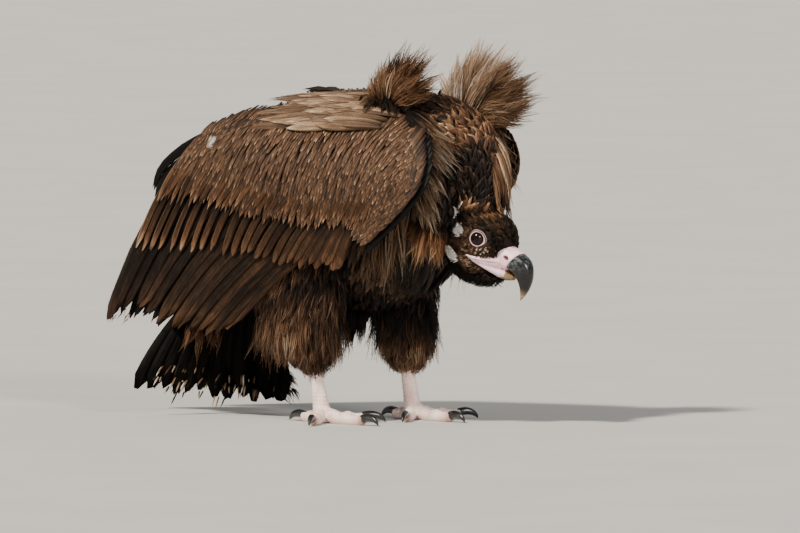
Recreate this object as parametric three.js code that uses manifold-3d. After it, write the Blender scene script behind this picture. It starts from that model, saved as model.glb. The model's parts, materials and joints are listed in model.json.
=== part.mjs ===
// A life-size still model of an immature cinereous vulture, standing with its head hung low, its wings
// folded and drooped, and its ruff raised in two tufts. Millimetres, +X the way the bird faces, +Y its left,
// +Z up, and the toes stand on z = 0. Every node is one closed body, and nodes that touch keep a small gap.
import * as THREE from "three";
import { mergeVertices } from "three/addons/utils/BufferGeometryUtils.js";
import Module from "manifold-3d";

const wasm = await Module();
wasm.setup();

// ---- driving sizes, in millimetres and degrees ----
const GAP = 0.35; // kept between nodes that touch
const HEAD_PITCH = 30; // how far the bill points below the horizon
const GAPE = [211, 0, 254]; // mid-point between the two corners of the mouth
const EYE = { along: 3, up: 34, out: 34, radius: 12 };
const FLIGHT_COUNT = 11;
const GREATER_COUNT = 10;
const MEDIAN_COUNT = 8;
const PRIMARY_COUNT = 2;
const TAIL_COUNT = 8;
const TORSO_SIDES = 16;
const CERE_PROUD = 0.9; // the soft cere stands this far over the horn
const VANE_THICK = 1.4;
const LOCK_THICK = 1.6;
const LEFT_WING_LIFT = 16;
const LEFT_WING_AHEAD = 14;
const TOE_RADIUS = 9.5;

const vec = (x, y, z) => new THREE.Vector3(x, y, z);
const rad = THREE.MathUtils.degToRad;
const mix = (a, b, t) => a + (b - a) * t;

// A small repeatable random number generator.
function seeded(seed) {
  let state = seed;
  return () => {
    state = (state * 1664525 + 1013904223) % 4294967296;
    return state / 4294967296;
  };
}

// Smooth interpolation through [[key, value or values], ...] sorted by rising key.
function along(table, key) {
  const last = table.length - 1;
  if (key <= table[0][0]) return table[0][1];
  if (key >= table[last][0]) return table[last][1];
  let i = 0;
  while (table[i + 1][0] < key) i++;
  const [k0, v0] = table[i];
  const [k1, v1] = table[i + 1];
  const t = (key - k0) / (k1 - k0);
  const [vp, kp] = i > 0 ? [table[i - 1][1], table[i - 1][0]] : [v0, k0 - (k1 - k0)];
  const [vn, kn] = i + 2 <= last ? [table[i + 2][1], table[i + 2][0]] : [v1, k1 + (k1 - k0)];
  const hermite = (a, b, p, n) => {
    const m0 = ((b - p) / (k1 - kp)) * (k1 - k0);
    const m1 = ((n - a) / (kn - k0)) * (k1 - k0);
    const t2 = t * t;
    const t3 = t2 * t;
    return (2 * t3 - 3 * t2 + 1) * a + (t3 - 2 * t2 + t) * m0 + (3 * t2 - 2 * t3) * b + (t3 - t2) * m1;
  };
  return Array.isArray(v0) ? v0.map((a, j) => hermite(a, v1[j], vp[j], vn[j])) : hermite(v0, v1, vp, vn);
}

// ---- making solids ----
function toSolid(geometry) {
  const bare = new THREE.BufferGeometry();
  bare.setAttribute("position", geometry.getAttribute("position"));
  if (geometry.index) bare.setIndex(geometry.index);
  const merged = mergeVertices(bare, 1e-4);
  const made = new wasm.Manifold(
    new wasm.Mesh({
      numProp: 3,
      vertProperties: new Float32Array(merged.attributes.position.array),
      triVerts: new Uint32Array(merged.index.array),
    }),
  );
  return made;
}

// A closed body skinned over rings of points. alike flips the diagonals of the second half of each ring,
// so that the two faces of a thin vane are split in the same way.
function skin(rings, alike = false) {
  const n = rings[0].length;
  const points = rings.flat();
  const triangles = [];
  for (let i = 0; i + 1 < rings.length; i++) {
    for (let j = 0; j < n; j++) {
      const k = (j + 1) % n;
      const [a, b, c, d] = [i * n + j, i * n + k, (i + 1) * n + k, (i + 1) * n + j];
      if (alike && j >= n / 2) triangles.push(a, b, d, b, c, d);
      else triangles.push(a, b, c, a, c, d);
    }
  }
  const end = (rings.length - 1) * n;
  if (alike) {
    for (let j = 0; j + 1 < n / 2; j++) {
      const [p, q, r, s] = [j, j + 1, n - 2 - j, n - 1 - j];
      triangles.push(p, s, q, q, s, r);
      triangles.push(end + p, end + q, end + s, end + q, end + r, end + s);
    }
  } else {
    for (const [ring, first] of [[rings[0], true], [rings[rings.length - 1], false]]) {
      const centre = ring.reduce((sum, p) => sum.add(p), vec(0, 0, 0)).divideScalar(n);
      const hub = points.push(centre) - 1;
      const base = first ? 0 : end;
      for (let j = 0; j < n; j++) {
        const k = (j + 1) % n;
        if (first) triangles.push(base + k, base + j, hub);
        else triangles.push(base + j, base + k, hub);
      }
    }
  }
  const geometry = new THREE.BufferGeometry();
  geometry.setAttribute("position", new THREE.Float32BufferAttribute(points.flatMap((p) => [p.x, p.y, p.z]), 3));
  geometry.setIndex(triangles);
  let solid = toSolid(geometry);
  if (solid.volume() < 0) {
    for (let i = 0; i < triangles.length; i += 3) {
      [triangles[i + 1], triangles[i + 2]] = [triangles[i + 2], triangles[i + 1]];
    }
    geometry.setIndex(triangles);
    solid = toSolid(geometry);
  }
  return solid;
}

// One oval ring: centre c, half-sizes wide along side and high along up.
function oval(c, side, up, wide, high, count) {
  return Array.from({ length: count }, (_, j) => {
    const angle = (2 * Math.PI * j) / count;
    return c.clone().addScaledVector(side, wide * Math.sin(angle)).addScaledVector(up, high * Math.cos(angle));
  });
}

// The head's sections are narrower at the jaw than at the cheeks.
const JAW_TAPER = 0.2;
function headLimb(stations, count, grow = 0) {
  return skin(
    stations.map(({ at, wide, high }) =>
      oval(vec(...at), vec(0, 1, 0), vec(0, 0, 1), wide + grow, high + grow, count).map((p) => {
        const down = (1 - (p.z - at[2]) / (high + grow)) / 2;
        return p.setY(p.y * (1 - JAW_TAPER * down));
      }),
    ),
  );
}

// A limb in a plane: stations { at: [x, y, z], pitch, wide, high } with the section square to the pitch.
function limb(stations, count, grow = 0) {
  return skin(
    stations.map(({ at, pitch, wide, high }) => {
      const up = vec(-Math.sin(rad(pitch)), 0, Math.cos(rad(pitch)));
      return oval(vec(...at), vec(0, 1, 0), up, wide + grow, high + grow, count);
    }),
  );
}

const unite = (list) => wasm.Manifold.union(list);

// What a node keeps: its largest closed surface, with small slivers dropped.
function largest(solid) {
  return solid.decompose().reduce((best, piece) => (piece.volume() > best.volume() ? piece : best));
}

// A feather or lock as a thin closed body. path holds points from root to tip, face the outward direction at
// each, and half the half-width at each.
function vane({ path, face, half, thick = VANE_THICK, grow = 0 }) {
  const rings = path.map((p, i) => {
    const before = path[Math.max(0, i - 1)];
    const after = path[Math.min(path.length - 1, i + 1)];
    const run = after.clone().sub(before).normalize();
    const side = run.clone().cross(face[i]).normalize();
    const out = side.clone().cross(run).normalize();
    const w = half[i] + grow;
    const t = thick / 2 + grow;
    const centre = i === path.length - 1 ? p.clone().addScaledVector(run, grow * 2) : p;
    const at = (s, o) => centre.clone().addScaledVector(side, s).addScaledVector(out, o);
    return [at(-w, t), at(w, t), at(w, -t), at(-w, -t)];
  });
  return skin(rings, true);
}

// ---- torso ----
// Sections square to X: x, then [centre height, half-height, half-width].
const TORSO = [
  [-205, [292, 26, 30]],
  [-170, [306, 84, 72]],
  [-110, [326, 146, 98]],
  [-40, [334, 159, 112]],
  [30, [338, 160, 114]],
  [100, [350, 147, 108]],
  [145, [368, 126, 100]],
  [175, [380, 98, 82]],
  [195, [386, 50, 46]],
];

// The back is narrower than the breast, so that the folded wings lie against it.
const backTaper = (turn) => 1 - 0.2 * Math.max(0, Math.cos(turn));

function torsoPoint(x, turn, lift = 0) {
  const [centre, high, wide] = along(TORSO, x);
  const across = wide * backTaper(turn);
  const normal = vec(0, Math.sin(turn) / across, Math.cos(turn) / high).normalize();
  return vec(x, across * Math.sin(turn), centre + high * Math.cos(turn)).addScaledVector(normal, lift);
}

function torsoFace(x, turn) {
  const step = 2;
  const ahead = torsoPoint(x + step, turn).sub(torsoPoint(x - step, turn));
  const round = torsoPoint(x, turn + 0.02).sub(torsoPoint(x, turn - 0.02));
  return round.cross(ahead).normalize().multiplyScalar(-1);
}

// Long pointed breast feathers, hanging down and back in rows round the breast.
const BREAST_ROWS = [
  { x: 160, length: 96, rise: 12, turns: [62, 100, 140, 180] },
  { x: 116, length: 104, rise: 16, turns: [92, 126, 160] },
  { x: 60, length: 108, rise: 24, turns: [118, 152] },
];

function breastLocks(grow) {
  const locks = [];
  const random = seeded(11);
  for (const { x, length, rise, turns } of BREAST_ROWS) {
    for (const turn of turns) {
      const signs = turn === 180 ? [1] : [-1, 1];
      for (const sign of signs) {
        const reach = length * mix(0.88, 1.12, random());
        const sway = mix(-5, 5, random());
        const start = rad(turn) * sign;
        const path = [];
        const face = [];
        for (const q of [0, 0.5, 1]) {
          const here = x - reach * q * 0.72;
          const round = mix(start, Math.PI * sign, 0.22 * q) + rad(sway) * q;
          path.push(torsoPoint(here, round, mix(-6, rise, q)));
          face.push(torsoFace(here, round));
        }
        locks.push(vane({ path, face, half: [11, 15, 1], thick: LOCK_THICK, grow }));
      }
    }
  }
  return locks;
}

// Scapulars: long feathers down the back, and a row each side that lies over the top of the folded wing.
const BACK_ROOTS = [70, -18];
const SIDE_ROOTS = [58, 0, -58];

function scapulars(grow) {
  const made = [];
  for (const sign of [-1, 1]) {
    for (const x of BACK_ROOTS) {
      const turn = rad(11) * sign;
      const path = [0, 0.5, 0.85, 1].map((q) => {
        const here = x - 118 * q;
        return torsoPoint(Math.max(here, -120), turn, mix(-6, 12, q)).setX(here);
      });
      const face = path.map(() => vec(0, Math.sin(turn) * 0.8, 1).normalize());
      made.push(vane({ path, face, half: [15, 22, 17, 4], grow }));
    }
    for (const [i, x] of SIDE_ROOTS.entries()) {
      const path = [];
      const face = [];
      for (const q of [0, 0.45, 0.82, 1]) {
        const laid = wingPoint(x - 130 * q, mix(481, 470 - 7 * i, q), mix(-4, 8, q));
        path.push(vec(laid.point.x, -sign * laid.point.y, laid.point.z + (sign > 0 ? LEFT_WING_LIFT : 0)));
        face.push(vec(laid.face.x, -sign * laid.face.y, laid.face.z));
      }
      made.push(vane({ path, face, half: [15, 20, 16, 4], grow }));
    }
  }
  return made;
}

function torsoBody(grow = 0) {
  const rings = [];
  for (const x of [-205, -190, -155, -110, -55, 10, 80, 130, 163, 183, 195]) {
    rings.push(Array.from({ length: TORSO_SIDES }, (_, j) => torsoPoint(x, (2 * Math.PI * j) / TORSO_SIDES, grow)));
  }
  return skin(rings);
}

const torsoWith = (grow) => unite([torsoBody(grow), ...breastLocks(grow), ...scapulars(grow)]);

// ---- neck with the raised ruff ----
const NECK = [
  { at: [112, 0, 424], pitch: -2, wide: 60, high: 66 },
  { at: [150, 0, 424], pitch: -8, wide: 64, high: 64 },
  { at: [182, 0, 408], pitch: -30, wide: 60, high: 56 },
  { at: [198, 0, 380], pitch: -58, wide: 54, high: 47 },
  { at: [204, 0, 342], pitch: -84, wide: 47, high: 38 },
  { at: [204, 0, 308], pitch: -92, wide: 41, high: 32 },
];

// Each tuft is a fan of long narrow feathers: root, then lean and spread of the fan in the bird's side view.
const TUFTS = [
  { name: "right", side: -1, root: [70, 56, 492], lean: [14, 60], reach: [98, 122, 104], count: 8, seed: 5 },
  { name: "left", side: 1, root: [140, 58, 472], lean: [-6, 102], reach: [96, 118, 96], count: 10, seed: 9 },
];

function ruffLocks({ side, root, lean, reach, count, seed }, grow) {
  const locks = [];
  const random = seeded(seed);
  const lengths = reach.map((length, i) => [i / 2, length]);
  for (let i = 0; i < count; i++) {
    const share = i / (count - 1);
    const layer = (i % 3) - 1;
    const angle = rad(mix(lean[0], lean[1], share));
    const length = along(lengths, share) * mix(0.92, 1.04, random());
    const out = side * (layer * 11 + mix(-3, 3, random()));
    const base = vec(root[0] + (share - 0.5) * -20, side * root[1] + out, root[2]);
    const run = vec(Math.cos(angle), side * mix(0.02, 0.1, random()) + (side * layer) / 9, Math.sin(angle));
    const curl = vec(0.1, 0, -0.08);
    const path = [0, 0.52, 1].map((q) =>
      base.clone().addScaledVector(run, length * q).addScaledVector(curl, length * q * q),
    );
    const face = path.map(() => vec(0.12 * (i % 2 ? 1 : -1), side, 0.1).normalize());
    locks.push(vane({ path, face, half: [9, 14, 0.9], thick: LOCK_THICK, grow }));
  }
  return locks;
}

// A tuft grows from a pad of its own on the shoulder.
function ruffPad({ side, root }, grow) {
  const pad = new THREE.SphereGeometry(1, 12, 8);
  pad.scale(40 + grow, 25 + grow, 19 + grow);
  pad.rotateY(rad(8));
  pad.translate(root[0], side * (root[1] - 4), root[2] - 9);
  return toSolid(pad);
}

const neckBody = (grow) => limb(NECK, 16, grow);
const ruff = (tuft, grow = 0) => unite([ruffPad(tuft, grow), ...ruffLocks(tuft, grow)]);

// ---- head: worked out along the bill's own axis from the gape, then pitched into place ----
const headPose = new THREE.Matrix4().makeRotationY(rad(HEAD_PITCH)).setPosition(...GAPE);
const rotate = (m) => Array.from(m.elements);
const placeHead = (solid) => solid.transform(rotate(headPose));

const SKULL = [
  { at: [-66, 0, 14], pitch: 0, wide: 20, high: 22 },
  { at: [-56, 0, 14], pitch: 0, wide: 33, high: 39 },
  { at: [-38, 0, 14], pitch: 0, wide: 42, high: 51 },
  { at: [-16, 0, 14], pitch: 0, wide: 46, high: 58 },
  { at: [6, 0, 17], pitch: 0, wide: 44, high: 56 },
  { at: [21, 0, 23], pitch: 0, wide: 36, high: 46 },
  { at: [32, 0, 30], pitch: 0, wide: 26, high: 29 },
  { at: [40, 0, 36], pitch: 0, wide: 14, high: 14 },
];

// The throat under the lower bill.
const CHIN = [
  { at: [-20, 0, -20], pitch: 0, wide: 30, high: 20 },
  { at: [10, 0, -22], pitch: 4, wide: 27, high: 17 },
  { at: [34, 0, -16], pitch: 8, wide: 18, high: 11 },
  { at: [52, 0, -10.5], pitch: 10, wide: 10, high: 5.5 },
  { at: [60, 0, -8], pitch: 10, wide: 4, high: 2.5 },
];

const UPPER_BILL = [
  { at: [12, 0, 21], pitch: 0, wide: 23, high: 19 },
  { at: [38, 0, 23], pitch: 0, wide: 19.5, high: 17.5 },
  { at: [57, 0, 25], pitch: -6, wide: 17, high: 16.5 },
  { at: [71, 0, 23], pitch: -30, wide: 14.5, high: 16 },
  { at: [82, 0, 12], pitch: -56, wide: 11, high: 13 },
  { at: [88.5, 0, -1], pitch: -76, wide: 7, high: 8 },
  { at: [91, 0, -12], pitch: -86, wide: 3.6, high: 4 },
  { at: [91.5, 0, -21], pitch: -94, wide: 0.8, high: 0.8 },
];

const LOWER_BILL = [
  { at: [-10, 0, -8], pitch: 0, wide: 20, high: 9 },
  { at: [16, 0, -6], pitch: 3, wide: 19.5, high: 10 },
  { at: [40, 0, -2.5], pitch: 5, wide: 15, high: 10 },
  { at: [56, 0, 0], pitch: 4, wide: 10.5, high: 8 },
  { at: [66, 0, 1.5], pitch: 0, wide: 5, high: 3.5 },
];

// The pink skin that runs back from the cere along the upper lip to the corner of the mouth.
const LIP = [
  { at: [-4, 0, 2], pitch: 0, wide: 42, high: 4 },
  { at: [10, 0, 3.8], pitch: 2, wide: 41, high: 9 },
  { at: [25, 0, 8.5], pitch: 6, wide: 33, high: 13 },
  { at: [42, 0, 16], pitch: 8, wide: 20, high: 13 },
];

function ball(side, radius, across, down) {
  const made = new THREE.SphereGeometry(radius, across, down);
  made.rotateX(Math.PI / 2);
  made.translate(EYE.along, side * EYE.out, EYE.up);
  return toSolid(made);
}

const eyeball = (side, grow = 0) => ball(side, EYE.radius + grow, 12, 8);

// The lids stand round the eye as a thick ring, open over the iris.
function eyelid(side) {
  const opening = new THREE.CylinderGeometry(9.6, 9.6, 20, 12);
  opening.scale(1.12, 1, 1);
  opening.translate(EYE.along + 0.5, side * (EYE.out + 15), EYE.up);
  return ball(side, EYE.radius + 2.2, 12, 8).subtract(toSolid(opening));
}

function nostril(side) {
  const hole = new THREE.SphereGeometry(1, 8, 6);
  hole.scale(2.6, 5, 3.6);
  hole.translate(48, side * 17.5, 27);
  return toSolid(hole);
}

// A wide thin slab across the head, cut away as the line of the mouth behind the bill.
function mouthLine() {
  const slab = new THREE.BoxGeometry(34, 90, 1.4);
  slab.rotateY(rad(-5));
  slab.translate(9, 0, -3.2);
  const mouthCore = new THREE.BoxGeometry(60, 54, 10);
  mouthCore.translate(0, 0, -3);
  return toSolid(slab).subtract(toSolid(mouthCore));
}

const billPieces = (grow) => ({
  upper: limb(UPPER_BILL, 12, grow),
  lower: limb(LOWER_BILL, 10, grow),
  lip: limb(LIP, 10, grow),
});

// The cere ends and the horn starts on a plane that leans forward at the top.
function frontOfCere(offset) {
  const block = new THREE.BoxGeometry(120, 120, 160);
  block.translate(60 + offset, 0, 0);
  block.rotateY(rad(-8));
  block.translate(58, 0, 24);
  return toSolid(block);
}

function headNodes() {
  const bill = billPieces(0);
  const grown = billPieces(GAP);
  const cere = unite([limb(UPPER_BILL, 12, CERE_PROUD), bill.lip]).subtract(frontOfCere(0));
  const nostrils = unite([nostril(-1), nostril(1)]);
  const horn = bill.upper.intersect(frontOfCere(GAP));
  const cereGrown = unite([limb(UPPER_BILL, 12, CERE_PROUD + GAP), grown.lip]);
  const lids = unite([eyelid(-1), eyelid(1)]);
  const lower = bill.lower.subtract(cereGrown);
  const lidGap = unite([eyeball(-1, GAP), eyeball(1, GAP)]);
  const skull = unite([headLimb(SKULL, 16), headLimb(CHIN, 10), lids]);
  const head = skull.subtract(unite([lidGap, cereGrown, grown.lower, mouthLine()]));
  return {
    head: largest(placeHead(head)),
    cere: largest(placeHead(cere.subtract(nostrils))),
    bill_upper: largest(placeHead(horn)),
    bill_lower: largest(placeHead(lower)),
    eye_right: placeHead(eyeball(-1)),
    eye_left: placeHead(eyeball(1)),
  };
}

const headClearance = () =>
  placeHead(
    unite([
      headLimb(SKULL, 16, GAP),
      headLimb(CHIN, 10, GAP),
      limb(LOWER_BILL, 10, GAP),
      limb(UPPER_BILL, 12, CERE_PROUD + GAP),
    ]),
  );

// ---- wings: worked out on the right side, in side view (x, z), and laid on a bulging surface ----
const WING_BULGE = [
  [-470, 42],
  [-380, 62],
  [-300, 86],
  [-220, 112],
  [-140, 130],
  [-40, 141],
  [60, 141],
  [150, 139],
  [205, 128],
];

function wingOut(x, z) {
  const over = Math.max(0, (z - 330) / 152);
  const under = Math.max(0, (330 - z) / 200);
  const round = Math.sqrt(Math.max(0.1, 1 - over * over)) - 0.1 * under * under;
  return along(WING_BULGE, x) * round;
}

const wingPoint = (x, z, lift = 0) => {
  const step = 3;
  const dx = (wingOut(x + step, z) - wingOut(x - step, z)) / (2 * step);
  const dz = (wingOut(x, z + step) - wingOut(x, z - step)) / (2 * step);
  const face = vec(-dx, -1, -dz).normalize();
  return { point: vec(x, -wingOut(x, z), z).addScaledVector(face, lift), face };
};

// The arm under the coverts: x, then [lower edge, upper edge, thickness].
const ARM = [
  [-300, [318, 368, 7]],
  [-250, [282, 428, 12]],
  [-180, [266, 462, 18]],
  [-80, [262, 474, 26]],
  [20, [262, 478, 34]],
  [80, [274, 476, 40]],
  [126, [302, 466, 44]],
  [160, [338, 446, 36]],
  [180, [374, 424, 20]],
];

function arm(grow) {
  const rings = [];
  const steps = 5;
  for (const x of [-300, -265, -205, -120, -20, 70, 125, 160, 180]) {
    const [low, high, thick] = along(ARM, x);
    const outer = [];
    const inner = [];
    for (let j = 0; j <= steps; j++) {
      const t = j / steps;
      const z = mix(low - grow, high + grow, t);
      const depth = thick * Math.sqrt(Math.max(0, 1 - (2 * t - 1) ** 2)) + 1.5;
      const { point, face } = wingPoint(x, z, grow);
      outer.push(point);
      inner.push(point.clone().addScaledVector(face, -depth - 2 * grow));
    }
    rings.push([...outer, ...inner.reverse()]);
  }
  return skin(rings);
}

// One wing feather laid along the surface from root to tip, both in side view; lift is its height over the
// surface at root and tip, and tilt turns it about its shaft so that it lies over its neighbour.
const LONG = [0, 0.45, 0.86, 1];
const SHORT = [0, 0.78, 1];

function wingVane({ root, tip, half, lift, bow = 0, tilt, shares, grow }) {
  const path = [];
  const face = [];
  const dx = tip[0] - root[0];
  const dz = tip[1] - root[1];
  for (const q of shares) {
    const arc = bow * Math.sin(Math.PI * q);
    const length = Math.hypot(dx, dz);
    const x = root[0] + dx * q + (dz / length) * arc;
    const z = root[1] + dz * q - (dx / length) * arc;
    const laid = wingPoint(x, z, mix(lift[0], lift[1], q));
    path.push(laid.point);
    face.push(laid.face);
  }
  const turned = path.map((p, i) => {
    const run = path[Math.min(i + 1, path.length - 1)].clone().sub(path[Math.max(0, i - 1)]).normalize();
    return face[i].clone().applyAxisAngle(run, rad(tilt));
  });
  return vane({ path, face: turned, half, grow });
}

// Where the feather rows start and end in side view, by share from the wrist (0) to the elbow (1).
const FLIGHT_ROOT = [
  [0, [108, 332]],
  [0.5, [-70, 340]],
  [1, [-246, 402]],
];
const FLIGHT_TIP = [
  [0, [-190, 132]],
  [0.25, [-262, 134]],
  [0.5, [-330, 146]],
  [0.75, [-388, 160]],
  [1, [-452, 143]],
];
const GREATER_TIP = [
  [0, [60, 244]],
  [0.3, [-40, 236]],
  [0.6, [-160, 246]],
  [1, [-366, 258]],
];
const GREATER_ROOT = [
  [0, [98, 318]],
  [0.4, [-10, 318]],
  [1, [-272, 358]],
];
const MEDIAN_ROOT = [
  [0, [126, 372]],
  [0.5, [-40, 368]],
  [1, [-258, 404]],
];
const MEDIAN_TIP = [
  [0, [108, 300]],
  [0.4, [-34, 300]],
  [1, [-322, 326]],
];

function wingFeathers(grow) {
  const made = [];
  const random = seeded(21);
  for (let i = 0; i < PRIMARY_COUNT; i++) {
    const share = i / (PRIMARY_COUNT - 1);
    const root = [mix(20, -120, share), mix(292, 330, share)];
    const tip = [mix(-300, -418, share), mix(140, 140, share)];
    made.push(wingVane({ root, tip, half: [11, 15, 13, 3], lift: [-9, -9], tilt: 3, shares: LONG, grow }));
  }
  for (let i = 0; i < FLIGHT_COUNT; i++) {
    const share = i / (FLIGHT_COUNT - 1);
    const root = along(FLIGHT_ROOT, share);
    const end = along(FLIGHT_TIP, share);
    const tip = [end[0] + mix(-6, 6, random()), end[1] + mix(-6, 6, random())];
    const wide = mix(1.0, 0.78, share);
    made.push(
      wingVane({
        root,
        tip,
        half: [15, 21, 18, 5].map((w) => w * wide),
        lift: [-4, 0.6],
        bow: mix(2, 12, share),
        tilt: 9,
        shares: LONG,
        grow,
      }),
    );
  }
  for (let i = 0; i < GREATER_COUNT; i++) {
    const share = i / (GREATER_COUNT - 1);
    const root = along(GREATER_ROOT, share);
    const end = along(GREATER_TIP, share);
    const tip = [end[0], end[1] + mix(-5, 5, random())];
    made.push(wingVane({ root, tip, half: [15, 23, 7], lift: [-6, 6], tilt: 7, shares: SHORT, grow }));
  }
  for (let i = 0; i < MEDIAN_COUNT; i++) {
    const share = i / (MEDIAN_COUNT - 1);
    const root = along(MEDIAN_ROOT, share);
    const end = along(MEDIAN_TIP, share);
    const tip = [end[0], end[1] + mix(-4, 4, random())];
    made.push(wingVane({ root, tip, half: [17, 26, 8], lift: [-6, 10], tilt: 7, shares: SHORT, grow }));
  }
  return made;
}

// The left wing's innermost feathers stand up and back, clear of the back.
function leftTertials(grow) {
  const tips = [
    [-440, 388],
    [-470, 358],
    [-486, 326],
  ];
  return tips.map((tip, i) => {
    const root = [-205 - 12 * i, 424 - 16 * i];
    const path = [0, 0.35, 0.75, 1].map((q) => {
      const x = mix(root[0], tip[0], q);
      const z = mix(root[1], tip[1], q) + 10 * Math.sin(Math.PI * q);
      return vec(x, -mix(wingOut(root[0], root[1]) - 3, 112, q), z);
    });
    const face = path.map(() => vec(-0.1, -0.82, 0.56).normalize());
    return vane({ path, face, half: [14, 19, 18, 6], grow });
  });
}

function wing(side, grow = 0) {
  const right = unite([arm(grow), ...wingFeathers(grow), ...(side > 0 ? leftTertials(grow) : [])]);
  return side < 0 ? right : right.mirror([0, 1, 0]).translate([LEFT_WING_AHEAD, 0, LEFT_WING_LIFT]);
}

// ---- tail: a fan of stiff feathers from the rump, swung a little to the bird's right ----
const TAIL_ROOT = [-176, 0, 276];

function tail(grow = 0) {
  const pieces = [];
  const stump = new THREE.SphereGeometry(1, 14, 10);
  stump.scale(44 + grow, 40 + grow, 22 + grow);
  stump.rotateY(rad(-56));
  stump.translate(TAIL_ROOT[0] - 20, 0, TAIL_ROOT[2] - 22);
  pieces.push(toSolid(stump));
  for (let i = 0; i < TAIL_COUNT; i++) {
    const share = i / (TAIL_COUNT - 1);
    const across = share * 2 - 1;
    const middle = 1 - Math.abs(across);
    const root = vec(TAIL_ROOT[0] - 14, across * 26, TAIL_ROOT[2] - 16);
    const tip = vec(mix(-346, -232, share), across * 108, mix(38, 12, share) + 6 * Math.sin(share * 40));
    const nested = (i % 2 ? 1 : -1) * 0.9 - 4 * middle;
    const path = [0, 0.45, 0.88, 1].map((q) => {
      const p = root.clone().lerp(tip, q);
      p.x -= 18 * Math.sin(Math.PI * q) * mix(1.5, 0.2, share) - nested * q;
      p.y *= mix(1, mix(0.72, 1, q), Math.sin(Math.PI * q));
      return p;
    });
    const face = path.map(() => vec(-0.85, 0.4 - 0.12 * across, 0.38).normalize());
    pieces.push(vane({ path, face, half: [14, 25, 27, 9], grow }));
  }
  return unite(pieces);
}

// ---- legs ----
const LEGS = {
  right: {
    side: -1,
    thigh: [
      { at: [-66, 68, 300], wide: 34, high: 66 },
      { at: [-66, 76, 240], wide: 42, high: 74 },
      { at: [-68, 80, 180], wide: 46, high: 78 },
      { at: [-60, 80, 132], wide: 42, high: 62 },
      { at: [-48, 77, 98], wide: 28, high: 36 },
      { at: [-43, 76, 82], wide: 17, high: 20 },
    ],
    hem: { at: [-58, 80, 128], reach: 52, spread: [46, 34], count: 6, slant: -0.22 },
    shank: [
      { at: [-46, 76, 112], wide: 8.5, high: 10.5 },
      { at: [-42, 75.5, 74], wide: 9.5, high: 11 },
      { at: [-36, 75, 48], wide: 10, high: 12 },
      { at: [-31, 75, 27], wide: 13, high: 15 },
    ],
    ankle: [-30, 75],
    toes: [
      { name: "middle", turn: 12, length: 92, claw: 40 },
      { name: "outer", turn: 66, length: 72, claw: 34 },
      { name: "inner", turn: -40, length: 64, claw: 40 },
      { name: "hind", turn: 196, length: 44, claw: 42 },
    ],
  },
  left: {
    side: 1,
    thigh: [
      { at: [-14, 74, 300], wide: 36, high: 66 },
      { at: [-4, 84, 240], wide: 46, high: 66 },
      { at: [8, 83, 180], wide: 45, high: 57 },
      { at: [16, 80, 132], wide: 38, high: 48 },
      { at: [20, 77, 98], wide: 29, high: 38 },
      { at: [22, 76, 80], wide: 18, high: 22 },
    ],
    hem: { at: [21, 80, 124], reach: 54, spread: [38, 36], count: 6, slant: 0 },
    shank: [
      { at: [18, 76, 112], wide: 8.5, high: 10.5 },
      { at: [22, 75.5, 74], wide: 9.5, high: 11 },
      { at: [26, 75, 48], wide: 10, high: 12 },
      { at: [30, 75, 27], wide: 13, high: 15 },
    ],
    ankle: [31, 75],
    toes: [
      { name: "middle", turn: 16, length: 92, claw: 40 },
      { name: "inner", turn: 64, length: 64, claw: 40 },
      { name: "outer", turn: -42, length: 72, claw: 34 },
      { name: "hind", turn: 198, length: 44, claw: 42 },
    ],
  },
};

const level = (stations, side, count, grow) =>
  skin(
    stations.map(({ at, wide, high }) =>
      oval(vec(at[0], side * at[1], at[2]), vec(0, 1, 0), vec(1, 0, 0), wide + grow, high + grow, count),
    ),
  );

// Shaggy trouser feathers that hang round the lower leg.
function hemLocks({ side, hem, thigh }, grow) {
  const random = seeded(31 + side);
  const locks = [];
  for (let i = 0; i < hem.count; i++) {
    const angle = (2 * Math.PI * i) / hem.count;
    const out = vec(Math.cos(angle), Math.sin(angle), 0);
    const [long, wide] = hem.spread;
    const start = vec(hem.at[0] + out.x * (long - 9), side * hem.at[1] + out.y * (wide - 7), hem.at[2]);
    const low = thigh[thigh.length - 1].at;
    const drop = hem.reach * mix(0.85, 1.12, random());
    const end = vec(
      mix(start.x, low[0] + out.x * 22, 0.62) + hem.slant * 40 * Math.max(0, -out.x),
      mix(start.y, side * low[1] + out.y * 20, 0.62),
      hem.at[2] - drop - hem.slant * 60 * -out.x,
    );
    const path = [0, 0.5, 1].map((q) =>
      start.clone().lerp(end, q).addScaledVector(out, 9 * Math.sin(Math.PI * q)),
    );
    const face = path.map(() => out.clone());
    locks.push(vane({ path, face, half: [16, 21, 1.5], thick: LOCK_THICK, grow }));
  }
  return locks;
}

const thighBody = (leg, grow = 0) => unite([level(leg.thigh, leg.side, 14, grow), ...hemLocks(leg, grow)]);

// A toe as joints along a line on the floor, and the claw that arches from its end to the floor.
function toe({ ankle, side }, { turn, length }, grow = 0) {
  const heading = vec(Math.cos(rad(turn)), side * Math.sin(rad(turn)) * (side > 0 ? -1 : 1), 0);
  const across = vec(-heading.y, heading.x, 0);
  const r = TOE_RADIUS;
  const knuckles = [
    [-4, 18, 9.5, 11],
    [length * 0.32, 9.4, r, 10.6],
    [length * 0.47, 7.6, r - 1.6, 8.4],
    [length * 0.62, 8.2, r, 9.8],
    [length * 0.78, 6.8, r - 2, 7.8],
    [length, 8, r - 2.6, 7.6],
  ];
  return skin(
    knuckles.map(([run, height, wide, high]) => {
      const c = vec(ankle[0], side * ankle[1], height).addScaledVector(heading, run);
      return oval(c, across, vec(0, 0, 1), wide + grow, high + grow, 8);
    }),
  );
}

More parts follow.
